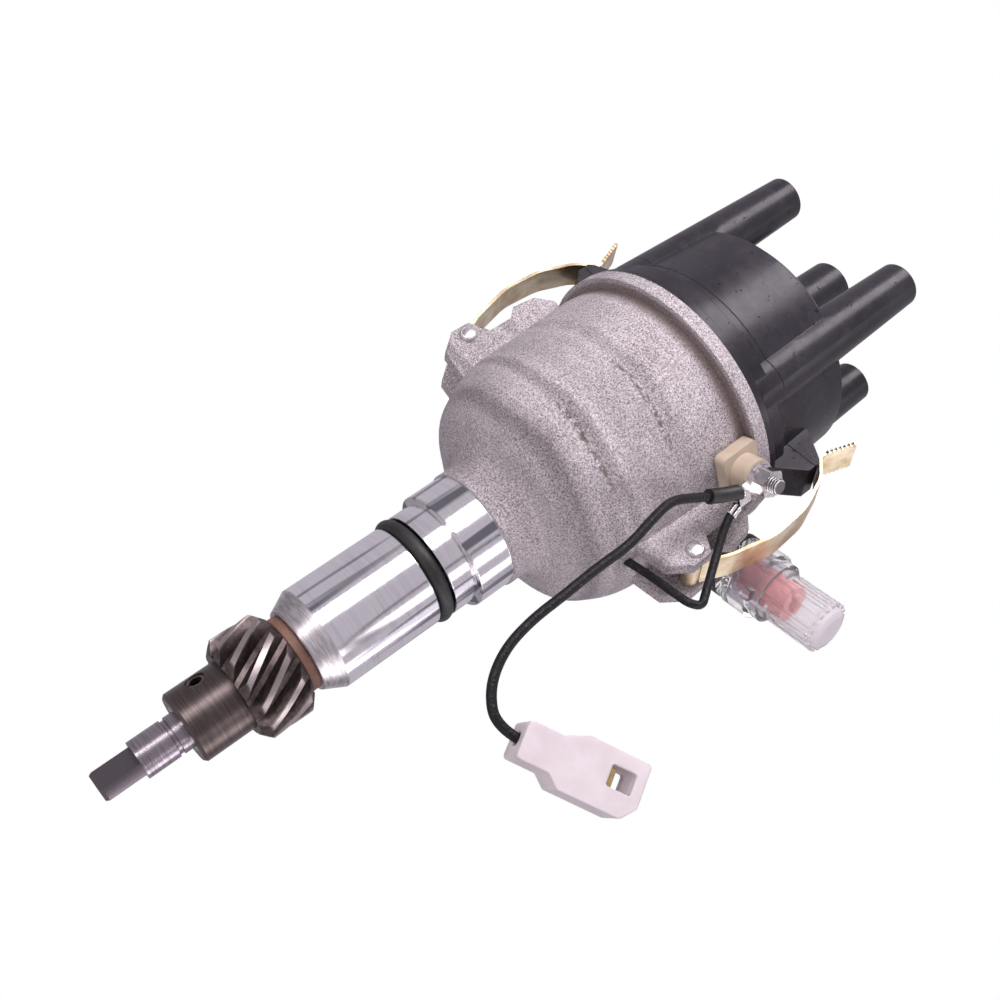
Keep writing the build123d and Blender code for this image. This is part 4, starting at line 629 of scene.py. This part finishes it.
def clip_teeth(clip, azimuth):
    """Saw teeth that lean towards the end of the clip."""
    teeth = bmesh.new()
    lean = tab_high - tab_low
    face = Vector((lean.y, -lean.x)).normalized() * clip_half_thickness
    profile = ((0.0, tooth_root), (tooth_tip_share, tooth_height), (1.0, tooth_root))
    for side in (-1, 1):
        for tooth in range(tooth_count):
            front, back = [], []
            for share, height in profile:
                spot = tab_low + lean * ((tooth + share) / tooth_count)
                shift = side * (clip_half_width + height)
                for corners, skin in ((front, face), (back, -face)):
                    corners.append(teeth.verts.new(outward(azimuth, spot.x + skin.x, shift, spot.y + skin.y)))
            teeth.faces.new(front)
            teeth.faces.new(back[::-1])
            for step in range(3):
                after = (step + 1) % 3
                teeth.faces.new((front[step], back[step], back[after], front[after]))
    add_piece(f"clip_teeth_{clip}", teeth, clip, own_materials[clip], smooth=False)


for clip_name in ("clip_1", "clip_2"):
    x, y, z = (value / MM for value in joint_of[f"{clip_name}_swing"]["pos_m"])
    clip_azimuth = math.degrees(math.atan2(y, x))
    rivet_heads(clip_name, clip_azimuth, math.hypot(x, y), z)
    clip_teeth(clip_name, clip_azimuth)

# Crimp barrels that hold the wires in their tinned terminals; each flares at both ends
crimp_steps = 24
crimp_gap = 26.0
crimp_fold = 0.68
crimp_wall = 0.3
crimp_flare = ((0, 1.12), (0.25, 1.0), (0.75, 1.0), (1, 1.12))


def crimp(name, start, end, radius):
    """Tinned barrel from start to end of a wire, open towards the front, its two wings folded in."""
    axis = (Vector(end) - Vector(start)).normalized()
    side = axis.cross(Vector((0, -1, 0))).normalized()
    front = side.cross(axis)
    outline = []
    for step in range(crimp_steps + 1):
        turn = math.radians(90 + crimp_gap / 2 + step * (360 - crimp_gap) / crimp_steps)
        reach = radius * (crimp_fold if step in (0, crimp_steps) else 1)
        outline.append(side * (reach * math.cos(turn)) + front * (reach * math.sin(turn)))
    barrel = bmesh.new()
    rings = []
    for share, grow in crimp_flare:
        place = Vector(start).lerp(Vector(end), share)
        rings.append([barrel.verts.new((place + spoke * grow) * MM) for spoke in outline])
    join_rings(barrel, rings, closed=False)
    piece = add_piece(name, barrel, "base", materials["zinc_steel"])
    wall = piece.modifiers.new("wall", "SOLIDIFY")
    wall.thickness = crimp_wall * MM
    wall.offset = 1


crimp("short_lead_crimp", (32.1, -33.05, 49.5), (33.0, -32.4, 46.6), 1.25)
crimp("lead_crimp", (29.75, -35.2, 51.9), (28.95, -35.12, 50.0), 1.35)


def white_floor():
    """Pale matt floor that the camera sees as plain white."""
    s = Shader("floor")
    shade = s.ramp(s.noise(3, 2, 0.5), 0.3, 0.7)
    s.set(Base_Color=s.mix(shade, rgb(0.90, 0.90, 0.90), rgb(0.94, 0.94, 0.94)), Roughness=0.8)
    glow = s.add("ShaderNodeEmission")
    glow.inputs["Color"].default_value = rgb(1, 1, 1)
    rays = s.add("ShaderNodeLightPath")
    choice = s.add("ShaderNodeMixShader")
    s.put(choice.inputs[0], rays.outputs["Is Camera Ray"])
    s.put(choice.inputs[1], s.surface.outputs[0])
    s.put(choice.inputs[2], glow.outputs[0])
    s.put(s.output.inputs["Surface"], choice.outputs[0])
    return s.material


# Floor far below the part, so that no shadow of it shows in the picture
floor_side = 3.0
floor_z = -0.45
floor_mesh = bpy.data.meshes.new("floor")
corners = [(sx * floor_side, sy * floor_side, floor_z) for sx, sy in ((-1, -1), (1, -1), (1, 1), (-1, 1))]
floor_mesh.from_pydata(corners, [], [(0, 1, 2, 3)])
floor_mesh.materials.append(white_floor())
floor = bpy.data.objects.new("floor", floor_mesh)
bpy.context.scene.collection.objects.link(floor)

# Sky: plain white to the camera and through clear plastic, a soft lilac light on everything else
sky_light = (0.97, 0.90, 1.0)
sky_strength = 0.26
sky_reflection = 0.52
world = bpy.data.worlds.new("world")
bpy.context.scene.world = world
world.use_nodes = True
sky = world.node_tree
sky.nodes.clear()
rays = sky.nodes.new("ShaderNodeLightPath")
strength = sky.nodes.new("ShaderNodeMapRange")
strength.inputs["To Min"].default_value = sky_strength
strength.inputs["To Max"].default_value = sky_reflection
sky.links.new(rays.outputs["Is Glossy Ray"], strength.inputs["Value"])
lit = sky.nodes.new("ShaderNodeBackground")
lit.inputs["Color"].default_value = rgb(*sky_light)
sky.links.new(strength.outputs[0], lit.inputs["Strength"])
white = sky.nodes.new("ShaderNodeBackground")
white.inputs["Color"].default_value = rgb(1, 1, 1)
seen = sky.nodes.new("ShaderNodeMath")
seen.operation = "MAXIMUM"
sky.links.new(rays.outputs["Is Camera Ray"], seen.inputs[0])
sky.links.new(rays.outputs["Is Transmission Ray"], seen.inputs[1])
choice = sky.nodes.new("ShaderNodeMixShader")
sky.links.new(seen.outputs[0], choice.inputs[0])
sky.links.new(lit.outputs[0], choice.inputs[1])
sky.links.new(white.outputs[0], choice.inputs[2])
sky_out = sky.nodes.new("ShaderNodeOutputWorld")
sky.links.new(choice.outputs[0], sky_out.inputs["Surface"])

# Lights: placed by the picture's own right, up and back from the middle of the part, in metres and watts
middle = Vector((8, 0, 15)) * MM
light_colour = (1.0, 0.93, 0.97)


def softbox(name, right, up, back, size, watts, shiny_only=False):
    """Area light aimed at the middle, its long side along the shaft."""
    data = bpy.data.lights.new(name, "AREA")
    data.shape = "RECTANGLE"
    data.size, data.size_y = size
    data.energy = watts
    data.color = light_colour
    light = bpy.data.objects.new(name, data)
    light.location = middle + camera_right * right + camera_up * up - camera_forward * back
    light.rotation_euler = (middle - light.location).to_track_quat("-Z", "X").to_euler()
    light.visible_diffuse = not shiny_only
    bpy.context.scene.collection.objects.link(light)


softbox("key", 0.30, 0.56, 0.34, (0.80, 0.30), 5.4)
softbox("front", -0.30, 0.20, 0.65, (0.60, 0.16), 2.3)
softbox("side", 0.60, -0.20, 0.25, (0.60, 0.16), 0.7)
softbox("under", 0.15, -0.60, 0.05, (1.60, 0.24), 3.2, shiny_only=True)
softbox("lower_fill", 0.05, -0.60, 0.30, (0.60, 0.30), 1.05)

bpy.context.scene.view_settings.view_transform = "Standard"
